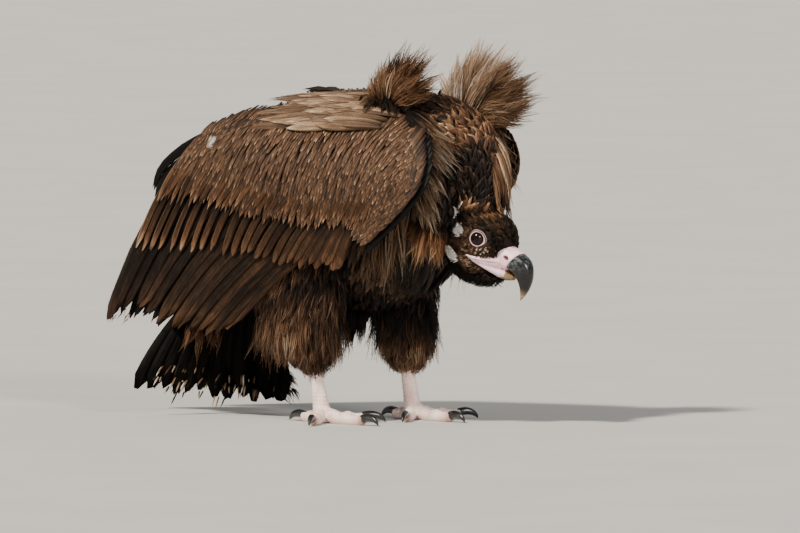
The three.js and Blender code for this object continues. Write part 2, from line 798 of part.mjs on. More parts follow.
function claw({ ankle, side }, { turn, length, claw: reach }, grow = 0) {
  const heading = vec(Math.cos(rad(turn)), side * Math.sin(rad(turn)) * (side > 0 ? -1 : 1), 0);
  const across = vec(-heading.y, heading.x, 0);
  const turns = [10, -4, -36, -62, -84];
  const radii = [6.2, 6, 4.8, 2.8, 0.5];
  const bend = [
    [-3, 10],
    [0.22 * reach, 12],
    [0.52 * reach, 10.2],
    [0.72 * reach, 5.4],
    [0.79 * reach, 0.9],
  ];
  return skin(
    bend.map(([run, height], i) => {
      const tip = vec(ankle[0], side * ankle[1], height).addScaledVector(heading, length + run);
      const up = heading.clone().multiplyScalar(-Math.sin(rad(turns[i]))).setZ(Math.cos(rad(turns[i])));
      return oval(tip, across, up, radii[i] * 0.82 + grow, radii[i] + grow, 6);
    }),
  );
}

const aboveFloor = (solid) => solid.trimByPlane([0, 0, 1], 0);

// ---- putting the nodes together, each cut clear of those before it ----
const nodes = headNodes();
const headRoom = headClearance();
nodes.torso = largest(torsoWith(0).subtract(headRoom));
const torsoRoom = torsoWith(GAP);
nodes.neck = largest(neckBody(0).subtract(unite([torsoRoom, headRoom])));
const taken = [torsoRoom, neckBody(GAP), headRoom];
for (const tuft of TUFTS) {
  nodes["ruff_" + tuft.name] = largest(ruff(tuft).subtract(unite(taken)));
  taken.push(ruff(tuft, GAP));
}

for (const [name, leg] of Object.entries(LEGS)) {
  const shank = level(leg.shank, leg.side, 10, 0);
  const thigh = thighBody(leg).subtract(unite([torsoRoom, level(leg.shank, leg.side, 10, GAP)]));
  nodes["thigh_" + name] = largest(thigh);
  nodes["shank_" + name] = largest(shank);
  taken.push(thighBody(leg, GAP));
  const shankRoom = level(leg.shank, leg.side, 10, GAP);
  const toes = unite(leg.toes.map((t) => toe(leg, t)));
  const foot = aboveFloor(toes.subtract(shankRoom));
  nodes["foot_" + name] = largest(foot);
  for (const t of leg.toes) {
    const room = unite(leg.toes.map((other) => toe(leg, other, GAP)));
    nodes["claw_" + t.name + "_" + name] = largest(aboveFloor(claw(leg, t).subtract(room)));
  }
}

const bodyRoom = unite(taken);
nodes.wing_right = largest(wing(-1).subtract(bodyRoom));
const rightRoom = wing(-1, GAP);
nodes.wing_left = largest(wing(1).subtract(unite([bodyRoom, rightRoom])));
nodes.tail = largest(tail().subtract(unite([bodyRoom, rightRoom, wing(1, GAP)])));

// ---- materials and the finished group ----
const finish = (color, roughness, metalness = 0) => new THREE.MeshStandardMaterial({ color, roughness, metalness });
const plumage = finish(0x3d2c22, 0.8);
const flight = finish(0x4a382d, 0.75);
const down = finish(0x231c18, 0.9);
const cereSkin = finish(0xd9b4b8, 0.55);
const horn = finish(0x1d1d20, 0.35);
const lowerBill = finish(0x8d7068, 0.5);
const legSkin = finish(0xe6c9c2, 0.6);
const eyeGloss = finish(0x120b08, 0.1);
const MATERIALS = [
  [/^(torso|neck|ruff|thigh)/, plumage],
  [/^(wing|tail)/, flight],
  [/^head/, down],
  [/^cere/, cereSkin],
  [/^bill_lower/, lowerBill],
  [/^(bill_upper|claw)/, horn],
  [/^(shank|foot)/, legSkin],
  [/^eye/, eyeGloss],
];

function toMesh(name, solid) {
  const { numProp, vertProperties, triVerts } = solid.getMesh();
  const count = vertProperties.length / numProp;
  const position = new Float32Array(count * 3);
  for (let i = 0; i < count; i++) position.set(vertProperties.subarray(i * numProp, i * numProp + 3), i * 3);
  const geometry = new THREE.BufferGeometry();
  geometry.setAttribute("position", new THREE.BufferAttribute(position, 3));
  geometry.setIndex(new THREE.BufferAttribute(new Uint32Array(triVerts), 1));
  geometry.computeVertexNormals();
  const mesh = new THREE.Mesh(geometry, MATERIALS.find(([pattern]) => pattern.test(name))[1]);
  mesh.name = name;
  return mesh;
}

const vulture = new THREE.Group();
vulture.name = "vulture";
for (const [name, solid] of Object.entries(nodes)) vulture.add(toMesh(name, solid));

// The part's origin is the middle of its box, at floor level.
const box = new THREE.Box3().setFromObject(vulture);
vulture.position.set(-(box.min.x + box.max.x) / 2, -(box.min.y + box.max.y) / 2, 0);

export default vulture;
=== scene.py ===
import json
import math
from functools import partial
import bpy
import numpy as np
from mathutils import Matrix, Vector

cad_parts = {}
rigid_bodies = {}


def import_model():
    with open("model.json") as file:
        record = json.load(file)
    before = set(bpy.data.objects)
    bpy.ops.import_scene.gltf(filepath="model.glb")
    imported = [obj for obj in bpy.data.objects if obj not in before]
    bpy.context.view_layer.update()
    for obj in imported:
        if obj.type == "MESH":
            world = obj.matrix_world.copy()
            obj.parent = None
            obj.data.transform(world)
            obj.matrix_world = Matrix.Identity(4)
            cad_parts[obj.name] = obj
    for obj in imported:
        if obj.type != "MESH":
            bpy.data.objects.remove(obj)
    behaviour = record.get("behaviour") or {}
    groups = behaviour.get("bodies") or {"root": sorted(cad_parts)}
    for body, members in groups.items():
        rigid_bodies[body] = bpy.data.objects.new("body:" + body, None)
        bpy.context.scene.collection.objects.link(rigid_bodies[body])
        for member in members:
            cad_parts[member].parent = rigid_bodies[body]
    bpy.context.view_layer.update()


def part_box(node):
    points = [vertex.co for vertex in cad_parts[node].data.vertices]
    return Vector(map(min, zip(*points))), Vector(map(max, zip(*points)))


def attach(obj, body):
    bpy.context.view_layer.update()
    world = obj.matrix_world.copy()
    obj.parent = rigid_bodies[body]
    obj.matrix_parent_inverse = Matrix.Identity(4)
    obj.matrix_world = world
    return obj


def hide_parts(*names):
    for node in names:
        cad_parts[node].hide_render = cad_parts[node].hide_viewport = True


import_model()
print("frame: loaded")

# Everything is worked out in the bird's millimetres: +X the way it faces, +Y its left, +Z up, toes at z 0.
eyeHome = np.array([230.6, -34.0, 281.9])  # the right eye's centre in those millimetres
birdToFrame = np.mean(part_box("eye_right"), axis=0) * 1000 - eyeHome
metresPerMm = 0.001


def vec(*parts):  # numbers and arrays side by side as the last axis
    return np.stack(np.broadcast_arrays(*[np.asarray(p, float) for p in parts]), -1)


def unit(v):  # each vector over its own length
    return v / np.maximum(np.linalg.norm(v, axis=-1, keepdims=True), 1e-9)


def dot(a, b):  # the sum of the products, kept as a last axis of one
    return np.sum(a * b, axis=-1, keepdims=True)


def mix(a, b, share):  # a at share 0, b at share 1, straight between
    return a + (b - a) * share


def ease(low, high, value):  # 0 at low, 1 at high, smooth between
    t = np.clip((np.asarray(value, float) - low) / (high - low), 0, 1)
    return t * t * (3 - 2 * t)


def blob(p, centre, radius):
    # 1 round a centre, falling smoothly to 0 at the radius, one number or one an axis
    away = np.linalg.norm((p - np.array(centre, float)) / np.array(radius, float), axis=-1)
    return 1 - ease(0.5, 1.0, away)


def along(table, at):  # smooth cubic curve through rows of [key, value, value, ...]
    rows = np.array(table, float)
    keys, values = rows[:, 0], rows[:, 1:]
    at = np.clip(np.asarray(at, float), keys[0], keys[-1])
    i = np.clip(np.searchsorted(keys, at, side="right") - 1, 0, len(keys) - 2)
    before, after = np.maximum(i - 1, 0), np.minimum(i + 2, len(keys) - 1)
    run = keys[i + 1] - keys[i]
    spanA = np.where(i > 0, keys[i + 1] - keys[before], 2 * run)
    spanB = np.where(i + 2 <= len(keys) - 1, keys[after] - keys[i], 2 * run)
    t = ((at - keys[i]) / run)[..., None]
    slopeA = (values[i + 1] - values[before]) * (run / spanA)[..., None]
    slopeB = (values[after] - values[i]) * (run / spanB)[..., None]
    return ((2 * t**3 - 3 * t**2 + 1) * values[i] + (t**3 - 2 * t**2 + t) * slopeA
            + (3 * t**2 - 2 * t**3) * values[i + 1] + (t**3 - t**2) * slopeB)


def colour(code):  # an sRGB hex colour as linear RGBA: each part over 255 with the sRGB curve undone
    parts = [int(code[i:i + 2], 16) / 255 for i in (1, 3, 5)]
    return [c / 12.92 if c <= 0.04045 else ((c + 0.055) / 1.055) ** 2.4 for c in parts] + [1]


def addNode(tree, kind, sockets=(), out=0, stops=(), **settings):
    # a node with its settings and colour stops; a socket takes a value or another node's output, and the
    # sockets come by name in a dictionary or in their own order in a tuple
    node = tree.nodes.new("ShaderNode" + kind)
    for key, value in settings.items():
        setattr(node, key, value)
    for key, value in sockets.items() if isinstance(sockets, dict) else enumerate(sockets):
        if isinstance(value, bpy.types.NodeSocket):
            tree.links.new(value, node.inputs[key])
        else:
            node.inputs[key].default_value = value
    if stops:
        bar = node.color_ramp.elements
        bar.remove(bar[1])
        bar[0].position, bar[0].color = stops[0][0], colour(stops[0][1])
        for place, code in stops[1:]:
            bar.new(place).color = colour(code)
    return node.outputs[out] if len(node.outputs) else node


def newFinish(name):  # a named material, and what adds a node to it
    finish = bpy.data.materials.new(name)
    finish.use_nodes = True
    finish.node_tree.nodes.clear()
    return finish, partial(addNode, finish.node_tree)


def endFinish(node, tone, rough, height, strength, depth, more=()):
    # the colour, the roughness and a bump of that height, strength and depth in metres go into the shader
    bump = node("Bump", {"Height": height, "Strength": strength, "Distance": depth})
    shader = node("BsdfPrincipled", {"Base Color": tone, "Roughness": rough, "Normal": bump, **dict(more)})
    node("OutputMaterial", {"Surface": shader})


def makePiece(name, points, faceSets, finish, replaced=(), uvs=None, marks=None):
    # points in bird millimetres, faceSets a list of index grids, uvs and marks one row a point
    mesh = bpy.data.meshes.new(name)
    where = (np.reshape(points, (-1, 3)) + birdToFrame) * metresPerMm
    sizes = np.concatenate([np.full(len(f), f.shape[1]) for f in faceSets])
    corners = np.concatenate([np.ravel(f) for f in faceSets])
    mesh.vertices.add(len(where))
    mesh.vertices.foreach_set("co", where.astype(np.float32).ravel())
    mesh.loops.add(len(corners))
    mesh.loops.foreach_set("vertex_index", corners.astype(np.int32))
    mesh.polygons.add(len(sizes))
    mesh.polygons.foreach_set("loop_start", (np.cumsum(sizes) - sizes).astype(np.int32))
    mesh.polygons.foreach_set("use_smooth", np.full(len(sizes), True))
    mesh.update(calc_edges=True)
    for key, value in (uvs or {}).items():
        layer = mesh.uv_layers.new(name=key)
        layer.data.foreach_set("uv", value.reshape(-1, 2)[corners].astype(np.float32).ravel())
    for key, value in (marks or {}).items():
        layer = mesh.attributes.new(key, "FLOAT", "POINT")
        layer.data.foreach_set("value", np.ravel(value).astype(np.float32))
    mesh.materials.append(finish)
    piece = bpy.data.objects.new(name, mesh)
    bpy.context.scene.collection.objects.link(piece)
    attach(piece, "root")
    if replaced:
        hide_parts(*replaced)
    print("made", name, int(np.sum(sizes - 2)))
    return piece


def gridFaces(rows, columns):  # quads over a grid of points, closed round its columns
    i = np.arange(rows - 1)[:, None] * columns
    j = np.arange(columns)[None, :]
    k = (j + 1) % columns
    return np.stack([i + j, i + k, i + columns + k, i + columns + j], -1).reshape(-1, 4)


def outward(points, faceSets):  # faces turned round where the closed body they make has a negative volume
    flat = np.reshape(points, (-1, 3))
    flat = flat - flat.mean(axis=0)
    volume = sum(np.sum(dot(np.cross(flat[f[:, 0]], flat[f[:, k]]), flat[f[:, k + 1]])) for f in faceSets
                 for k in range(1, f.shape[1] - 1))
    return faceSets if volume > 0 else [f[:, ::-1] for f in faceSets]


def tube(grid):  # a grid of rings as a closed body, with a flat face at either end
    rows, columns = grid.shape[:2]
    first = np.arange(columns)[None, ::-1]
    last = (rows - 1) * columns + np.arange(columns)[None]
    return grid.reshape(-1, 3), outward(grid, [gridFaces(rows, columns), first, last])


def together(bodies):  # several bodies' points and faces as one
    points, faceSets, start = [], [], 0
    for p, faces in bodies:
        points.append(p)
        faceSets += [f + start for f in faces]
        start += len(p)
    return np.concatenate(points), faceSets


def limb(stations, rows, sides, grow=0.0, shape=None):
    # rings square to a path in the x-z plane: centre + across * half-width + up * half-height of the station
    keyed = [[i, *station] for i, station in enumerate(stations)]  # x, y, z, pitch, wide, high
    row = along(keyed, np.linspace(0, len(stations) - 1, rows))
    turn = np.linspace(0, 2 * np.pi, sides, endpoint=False)
    across, rise = (np.sin(turn), np.cos(turn)) if shape is None else shape(turn)
    pitch = np.radians(row[:, 3])
    up = vec(-np.sin(pitch), 0, np.cos(pitch))
    wide, high = row[:, 4] + grow, row[:, 5] + grow
    return (row[:, None, :3] + (wide[:, None] * across)[..., None] * np.array([0.0, 1, 0])
            + (high[:, None] * rise)[..., None] * up[:, None, :])


def egg(centre, sizes, rows=14, sides=20, pitch=0.0):  # an ellipsoid as rings from pole to pole
    a = np.linspace(0.02, np.pi - 0.02, rows)[:, None]
    b = np.linspace(0, 2 * np.pi, sides, endpoint=False)[None]
    p = vec(sizes[0] * np.cos(a) + 0 * b, sizes[1] * np.sin(a) * np.sin(b), sizes[2] * np.sin(a) * np.cos(b))
    c, s = math.cos(math.radians(pitch)), math.sin(math.radians(pitch))
    tilted = vec(p[..., 0] * c + p[..., 2] * s, p[..., 1], -p[..., 0] * s + p[..., 2] * c)
    return tilted + np.array(centre, float)


def fuseBodies(bodies, voxel, smoothing):
    # crossing closed bodies as one skin of quads, remeshed over small cubes and smoothed: points, normals,
    # faces
    mesh = bpy.data.meshes.new("rough")
    mesh.from_pydata(bodies[0].tolist(), [], [f for faces in bodies[1] for f in faces.tolist()])
    rough = bpy.data.objects.new("rough", mesh)
    bpy.context.scene.collection.objects.link(rough)
    fuse = rough.modifiers.new("fuse", "REMESH")
    fuse.mode, fuse.voxel_size = "VOXEL", voxel
    settle = rough.modifiers.new("settle", "SMOOTH")
    settle.factor, settle.iterations = 0.5, smoothing
    bpy.context.view_layer.update()
    fused = bpy.data.meshes.new_from_object(rough.evaluated_get(bpy.context.evaluated_depsgraph_get()))
    bpy.data.objects.remove(rough)
    points, normals = np.empty((2, len(fused.vertices) * 3))
    fused.vertices.foreach_get("co", points)
    fused.vertices.foreach_get("normal", normals)
    faces = np.empty(len(fused.loops), np.int32)
    fused.loops.foreach_get("vertex_index", faces)
    bpy.data.meshes.remove(fused)
    return points.reshape(-1, 3), unit(normals.reshape(-1, 3)), faces.reshape(-1, 4)


# camera: 1.5 mm to the pixel, the bird turned 35 degrees towards it, seen from 3 degrees above, 26.7 m away
shot = {"turn": 35, "above": 3, "target": [40.5, 28.4, 232.1], "lens": 800, "sensor": 36, "away": 26.667,
        "seesTo": 100}
turn, above = math.radians(shot["turn"]), math.radians(shot["above"])
ahead = np.array([-math.sin(turn) * math.cos(above), math.cos(turn) * math.cos(above), -math.sin(above)])
spot = (np.array(shot["target"]) + birdToFrame) * metresPerMm - ahead * shot["away"]
lens = bpy.data.cameras.new("camera")
lens.lens, lens.sensor_width, lens.clip_end = shot["lens"], shot["sensor"], shot["seesTo"]
camera = bpy.data.objects.new("camera", lens)
camera.location = spot
camera.rotation_euler = (math.pi / 2 - above, 0, turn)
bpy.context.scene.collection.objects.link(camera)
bpy.context.scene.camera = camera
print("camera: set")


# the bird's surfaces; a station is x, y, z, pitch, half-width, half-height, and the head's x is the bill's
body = {
    "torso": [  # x, then centre height, half-height, half-width
        [-205, 292, 26, 30], [-170, 306, 84, 72], [-110, 326, 146, 98], [-40, 334, 159, 112],
        [30, 338, 160, 114], [100, 350, 147, 108], [145, 368, 126, 100], [175, 380, 98, 82],
        [195, 386, 50, 46]],
    "neck": [[112, 0, 424, -2, 60, 66], [150, 0, 424, -8, 64, 64], [182, 0, 408, -30, 60, 56],
             [198, 0, 380, -58, 54, 47], [204, 0, 342, -84, 47, 38], [204, 0, 308, -92, 41, 32]],
    "thighRight": [[-66, -68, 300, -90, 34, 66], [-66, -76, 240, -90, 42, 74], [-68, -80, 180, -90, 46, 78],
                   [-60, -80, 132, -90, 42, 62], [-48, -77, 98, -90, 28, 36], [-43, -76, 82, -90, 17, 20]],
    "thighLeft": [[-14, 74, 300, -90, 36, 66], [-4, 84, 240, -90, 46, 66], [8, 83, 180, -90, 45, 57],
                  [16, 80, 132, -90, 38, 48], [20, 77, 98, -90, 29, 38], [22, 76, 80, -90, 18, 22]],
    "skull": [[-66, 0, 14, 0, 20, 22], [-56, 0, 14, 0, 33, 39], [-38, 0, 14, 0, 42, 51],
              [-16, 0, 14, 0, 46, 58], [6, 0, 17, 0, 44, 56], [21, 0, 23, 0, 36, 46],
              [32, 0, 30, 0, 26, 29], [40, 0, 36, 0, 14, 14]],
    "chin": [[-20, 0, -20, 0, 30, 20], [10, 0, -22, 0, 27, 17], [34, 0, -16, 0, 18, 11],
             [52, 0, -10.5, 0, 10, 5.5], [60, 0, -8, 0, 4, 2.5]],
    "arm": [  # x, then lower edge, upper edge, thickness of the flesh under the coverts
        [-300, 318, 368, 7], [-250, 282, 428, 12], [-180, 266, 462, 18], [-80, 262, 474, 26],
        [20, 262, 478, 34], [80, 274, 476, 40], [126, 302, 466, 44], [160, 338, 446, 36],
        [180, 374, 424, 20]],
    "bulge": [[-470, 42], [-380, 62], [-300, 86], [-220, 112], [-140, 130], [-40, 141], [60, 141],
              [150, 139], [205, 128]],
    # the height where a folded wing stands out furthest, and how far over and under it the wing rounds in
    "widest": 330, "roundOver": 152, "roundUnder": 200,
    "headPitch": math.radians(30), "gape": [211, 0, 254], "leftWing": [14, 0, 16], "leftWrist": 13,
}
headAhead = np.array([math.cos(body["headPitch"]), 0, -math.sin(body["headPitch"])])
headUp = np.array([math.sin(body["headPitch"]), 0, math.cos(body["headPitch"])])


def placeHead(p):  # from along the bill, out to the left and up, to the bird's millimetres
    return (p[..., :1] * headAhead + p[..., 1:2] * np.array([0.0, 1, 0]) + p[..., 2:3] * headUp
            + np.array(body["gape"], float))


def inHead(p):  # and back: the share of each of the head's own directions
    q = p - np.array(body["gape"], float)
    return vec(q @ headAhead, q[..., 1], q @ headUp)


def torsoPoint(x, around, lift=0.0):
    # an oval at each x, narrower above, plus its normal * lift; turn 0 is the back, a quarter turn the left
    row = along(body["torso"], x)
    across = row[..., 2] * (1 - 0.2 * np.maximum(0, np.cos(around)))
    normal = unit(vec(0, np.sin(around) / across, np.cos(around) / row[..., 1]))
    return vec(x, across * np.sin(around), row[..., 0] + row[..., 1] * np.cos(around)) + normal * lift


def wingOut(x, z):
    # how far out the folded wing's face stands: the bulge at x, less an oval's fall above, a slow one below
    over = np.maximum(0, (z - body["widest"]) / body["roundOver"])
    under = np.maximum(0, (body["widest"] - z) / body["roundUnder"])
    return along(body["bulge"], x)[..., 0] * (np.sqrt(np.maximum(0.1, 1 - over**2)) - 0.1 * under**2)


def onWing(x, z, lift, side):  # a point over the folded wing and the way it faces, side -1 the right wing
    step = 3
    dx = (wingOut(x + step, z) - wingOut(x - step, z)) / (2 * step)
    dz = (wingOut(x, z + step) - wingOut(x, z - step)) / (2 * step)
    face = unit(vec(-dx, -1, -dz))
    p = vec(x, -wingOut(x, z), z) + face * np.asarray(lift)[..., None]
    if side > 0:
        face, p = face * [1, -1, 1], p * [1, -1, 1] + np.array(body["leftWing"], float)
        p = p - vec(body["leftWrist"] * ease(60, 180, x + 0 * z), 0, 0)
    return p, face


def armGrid(side, grow):  # the flesh of a folded wing: a flat oval section round each upright line
    x = np.linspace(-296, 178, 40)[:, None]
    row = along(body["arm"], x)
    t = np.concatenate([np.linspace(0, 1, 14), np.linspace(1, 0, 14)])[None]
    inner = np.concatenate([np.zeros(14), np.ones(14)])[None]
    z = mix(row[..., 0] - grow, row[..., 1] + grow, t)
    depth = row[..., 2] * np.sqrt(np.maximum(0, 1 - (2 * t - 1) ** 2)) + 1.5
    p, face = onWing(x + 0 * z, z, grow + 0 * z, side)
    return p - face * ((depth + grow) * inner)[..., None]


# the skin: every limb a little inside its solid, fused over small cubes
skinSizes = {"voxel": 3.6, "coatDepth": 8.0, "headDepth": 4.0, "smoothing": 6}
deep, shallow = -skinSizes["coatDepth"], -skinSizes["headDepth"]
torsoGrid = torsoPoint(np.linspace(-202, 191, 36)[:, None],
                       np.linspace(0, 2 * np.pi, 60, endpoint=False)[None], deep)
limbs = {
    "torso": [torsoGrid, egg([-196, 0, 254], [42, 36, 20], pitch=20)],
    "neck": [limb(body["neck"], 26, 40, deep + 1)],
    "head": [placeHead(limb(body["skull"], 30, 48, shallow)), placeHead(limb(body["chin"], 20, 28, shallow))],
    "thighRight": [limb(body["thighRight"], 30, 36, deep + 1)],
    "thighLeft": [limb(body["thighLeft"], 30, 36, deep + 1)],
    "wingRight": [armGrid(-1, deep + 1)],
    "wingLeft": [armGrid(1, deep + 1)],
    "ruffRight": [egg([70, -52, 483], [34, 19, 13], pitch=8)],
    "ruffLeft": [egg([140, 54, 463], [34, 19, 13], pitch=8)],
}
limbNames = list(limbs)
rough = together([tube(grid) for grids in limbs.values() for grid in grids])
roughLimb = np.concatenate([np.full(g.size // 3, i) for i, grids in enumerate(limbs.values()) for g in grids])
skinPoints, skinNormals, skinFaces = fuseBodies(rough, skinSizes["voxel"], skinSizes["smoothing"])
print("skin: fused,", len(skinFaces), "quads")


class NearBy:  # which of many points lies about nearest a place, from a grid of cells filled outwards
    def __init__(self, points, cell, spread):
        self.low, self.cell = points.min(axis=0) - cell * (spread + 2), cell
        span = np.ceil((points.max(axis=0) + cell * (spread + 2) - self.low) / cell).astype(int) + 1
        self.box = np.full(span, -1)
        spots = ((points - self.low) / cell).astype(int)
        self.box[spots[:, 0], spots[:, 1], spots[:, 2]] = np.arange(len(points))
        for _ in range(spread):
            for axis in (0, 1, 2):
                for step in (1, -1):
                    near = np.roll(self.box, step, axis)
                    self.box = np.where(self.box < 0, near, self.box)

    def find(self, p):  # the number of the point kept in each place's cell, or -1
        spots = np.clip(((p - self.low) / self.cell).astype(int), 0, np.array(self.box.shape) - 1)
        return self.box[spots[..., 0], spots[..., 1], spots[..., 2]]


nearSkin = NearBy(skinPoints, 4.0, 9)
nearRough = NearBy(rough[0], 9.0, 5)
skinLimb = roughLimb[nearRough.find(skinPoints)]


tones = {  # from 0 black-brown over brown and tan to 1 cream and 1.25 white
    "belly": 0.14, "back": 0.4, "saddle": -0.26, "shin": 0.6, "calf": 0.1, "thighBack": 0.54,
    "thighFrontShade": -0.16, "underWingShadow": -0.4, "throat": 0.02, "neckTop": 0.46, "neckBack": -0.2, "neckRoot": -0.22,
    "chin": 0.13, "head": 0.14, "face": 0.26, "jaw": 0.3, "lore": -0.32, "white": 1.35, "nape": 0.68,
    "orange": 0.5,
    "patches": [([-29.5, 36, 26], [9, 20, 6.5]), ([-25, 32, -11], [15, 26, 8.5]),
                ([-54, 22, 47], [9, 20, 10])],
}


def markings(p, part):
    # one set of rules for skin and coat: each region's tone, mixed into the next by height or by a soft blob,
    # and beside it how red the brown is, from 0 to 1
    q = inHead(p)
    x, z, f, w = p[..., 0], p[..., 2], q[..., 0], q[..., 2]
    part = np.broadcast_to(part, x.shape)
    shade, rust = np.full(x.shape, 0.3), np.full(x.shape, 0.22)
    isTorso, isNeck, isHead = part == "torso", part == "neck", part == "head"
    isThigh = np.char.startswith(part, "thigh")
    saddle = ease(60, 110, x) * ease(440, 470, z)
    trunk = mix(tones["belly"], tones["back"], ease(330, 450, z)) + tones["saddle"] * saddle
    shade = np.where(isTorso, trunk, shade)
    # painted shadow: the left thigh is near black above, where the body shades it, and tan below
    calf = mix(tones["calf"], tones["shin"], ease(160, 120, z))
    # painted shade: the right thigh is darker towards its front, the side that lies in shade
    thigh = tones["thighBack"] + tones["thighFrontShade"] * ease(-50, -15, x)
    shade = np.where(isThigh, np.where(part == "thighRight", thigh, calf), shade)
    rust = np.where(isThigh, 0.42, rust)
    # painted shadow: darker in a band under the right wing, where the wing's shadow falls on the body
    underWingShadow = np.exp(-(((z - 229 - 0.47 * (x + 24)) / 15) ** 2)) * ease(-160, -110, x) * (1 - ease(50, 90, x))
    shade = np.where(p[..., 1] < -30, shade + tones["underWingShadow"] * underWingShadow, shade)
    neck = tones["throat"] + tones["neckTop"] * ease(385, 425, z)
    neck = neck + tones["neckBack"] * (1 - ease(130, 165, x))
    shade = np.where(isNeck, neck, shade)
    shade = np.where(isNeck, shade + tones["neckRoot"] * ease(446, 462, z), shade)
    rust = np.where(isNeck, 0.45 + 0.2 * ease(390, 420, z), rust)
    face = blob(q * [1, 0, 1], [-6, 0, 16], [46, 1, 38])
    lore = np.exp(-(((w - 54.7 + 0.56 * f) / 5) ** 2)) * ease(6, 14, f) * (1 - ease(34, 40, f))
    jaw = blob(q * [1, 0, 1], [6, 0, -10], [32, 1, 11])
    head = tones["chin"] + tones["head"] * ease(-12, 10, w) + tones["face"] * face + tones["jaw"] * jaw
    shade = np.where(isHead, head + tones["lore"] * lore, shade)
    rust = np.where(isHead, 0.03 - 0.03 * face, rust)
    for centre, size in tones["patches"]:
        patch = blob(vec(f, np.abs(q[..., 1]), w), centre, size)
        shade = np.where(isHead | isNeck, mix(shade, tones["white"], ease(0.1, 0.4, patch)), shade)
    nape = np.exp(-(((w - 66 - 0.25 * f) / 7) ** 2)) * ease(-70, -40, f) * (f < 10)
    shade = np.where(isHead | isNeck, mix(shade, tones["nape"], 0.8 * nape), shade)
    rust = np.where(isHead | isNeck, mix(rust, 0.6, nape), rust)
    orange = blob(p, [172, -76, 288], [28, 30, 30])
    return mix(shade, tones["orange"], orange), mix(rust, 1.0, orange)


# plumage: every feather, lock and strand is a thin closed vane, as wide along its length as its shape says
shapes = {  # share of the length, share of the half-width
    "brush": [[0, 0.3], [0.35, 0.9], [0.7, 1], [1, 0.75]],
    "lance": [[0, 0.3], [0.25, 0.8], [0.5, 1], [0.78, 0.7], [1, 0.05]],
    "leaf": [[0, 0.4], [0.3, 0.85], [0.6, 1], [0.82, 0.78], [0.94, 0.4], [1, 0.06]],
    "quill": [[0, 0.35], [0.25, 0.85], [0.6, 1], [0.92, 0.95], [0.98, 0.7], [1, 0.4]],
    "hair": [[0, 0.8], [0.4, 1], [0.8, 0.6], [1, 0.08]],
}
patchWide = 0.003  # the share of the skin's map that one feather takes, round the place of its root


def plumes(path, face, half, root, columns=3, thick=0.5, camber=0.25, fray=0.0, seed=0, **marks):
    # path is roots to tips (feathers, steps, 3), face the outward way and half the half-width at each step.
    # A point is path + side * half * v + out * camber * half * (1 - v^2); a keel under the middle closes it
    count, steps = path.shape[:2]
    draw = np.random.default_rng(seed)
    run = unit(np.gradient(path, axis=1))
    side = unit(np.cross(run, face))
    out = np.cross(side, run)
    v = np.linspace(-1, 1, columns)
    u = np.linspace(0, 1, steps)
    length = np.linalg.norm(np.diff(path, axis=1), axis=-1).sum(axis=1)
    half = np.broadcast_to(half, (count, steps))
    slip = draw.uniform(-1, 0.25, (count, 1, columns)) * fray * (u**3)[None, :, None] * length[:, None, None]
    top = (path[:, :, None] + side[:, :, None] * (half[..., None] * v)[..., None]
           + out[:, :, None] * (camber * half[..., None] * (1 - v**2))[..., None]
           + run[:, :, None] * slip[..., None])
    keel = path - out * (thick * (0.35 + 0.65 * (1 - u)))[None, :, None]
    points = np.concatenate([top, keel[:, :, None]], axis=2)
    ring = columns + 1
    quads = gridFaces(steps, ring)
    first = np.arange(ring)[None, ::-1]
    last = (steps - 1) * ring + np.arange(ring)[None]
    start = (np.arange(count) * steps * ring)[:, None, None]
    faces = [(start + f[None]).reshape(-1, f.shape[1]) for f in (quads, first, last)]
    flatUv = np.stack(np.broadcast_arrays(u[None, :, None], np.append((v + 1) / 2, 0.5)[None, None]), -1)
    flatUv = np.broadcast_to(flatUv, (count, steps, ring, 2))
    patch = skinMap[root][:, None, None] + (flatUv - 0.5) * patchWide
    given = {"shade": 0.4, "rust": 0.3, "pale": 0.3, **marks, "reach": length / 100,
             "chance": draw.random(count)}
    spread = {k: np.broadcast_to(np.reshape(m, np.shape(m) + (1,) * (3 - np.ndim(m))),
                                 (count, steps, ring)).ravel() for k, m in given.items()}
    return points.reshape(-1, 3), faces, flatUv.reshape(-1, 2), patch.reshape(-1, 2), spread


def coatPiece(name, groups, finish):  # groups of vanes joined as one piece
    points, faces = together([(g[0], g[1]) for g in groups])
    uvs = {"vane": np.concatenate([g[2] for g in groups]), "OFBake": np.concatenate([g[3] for g in groups])}
    marks = {k: np.concatenate([g[4][k] for g in groups]) for k in groups[0][4]}
    makePiece(name, points, faces, finish, (), uvs, marks)


def comb(root, flow, length, steps, rise, droop=0.0, settleDown=0.6):
    # walks a feather over the skin from its root: each step is way * length / steps, with way turned into the
    # skin's own plane, and ends as high over the skin as rise says at that share of the length
    p = root + 0.0
    way = unit(flow)
    path, face = [], []
    share = np.linspace(0, 1, steps)
    lift = along(rise, share)[:, 0]
    for k in range(steps):
        near = nearSkin.find(p)
        near = np.where(near < 0, nearSkin.find(root), near)
        n, base = skinNormals[near], skinPoints[near]
        high = dot(p - base, n)
        p = p + n * (lift[k] - high) * (1 if k == 0 else settleDown)
        path.append(p)
        face.append(n)
        way = unit(way - n * dot(way, n) * 0.85 + np.array([0, 0, -droop]))
        p = p + way * (np.asarray(length)[..., None] / (steps - 1))
    return np.stack(path, 1), unit(np.stack(face, 1))


def pick(mask, spacing, draw, jitter=1.5):  # one skin point in each cell of that spacing, nudged in its plane
    chosen = draw.permutation(np.flatnonzero(mask))
    _, first = np.unique(np.floor(skinPoints[chosen] / spacing + 0.37).astype(int), axis=0, return_index=True)
    root = chosen[np.sort(first)]
    nudge = draw.uniform(-jitter, jitter, (len(root), 3))
    n = skinNormals[root]
    return root, skinPoints[root] + nudge - n * dot(nudge, n)


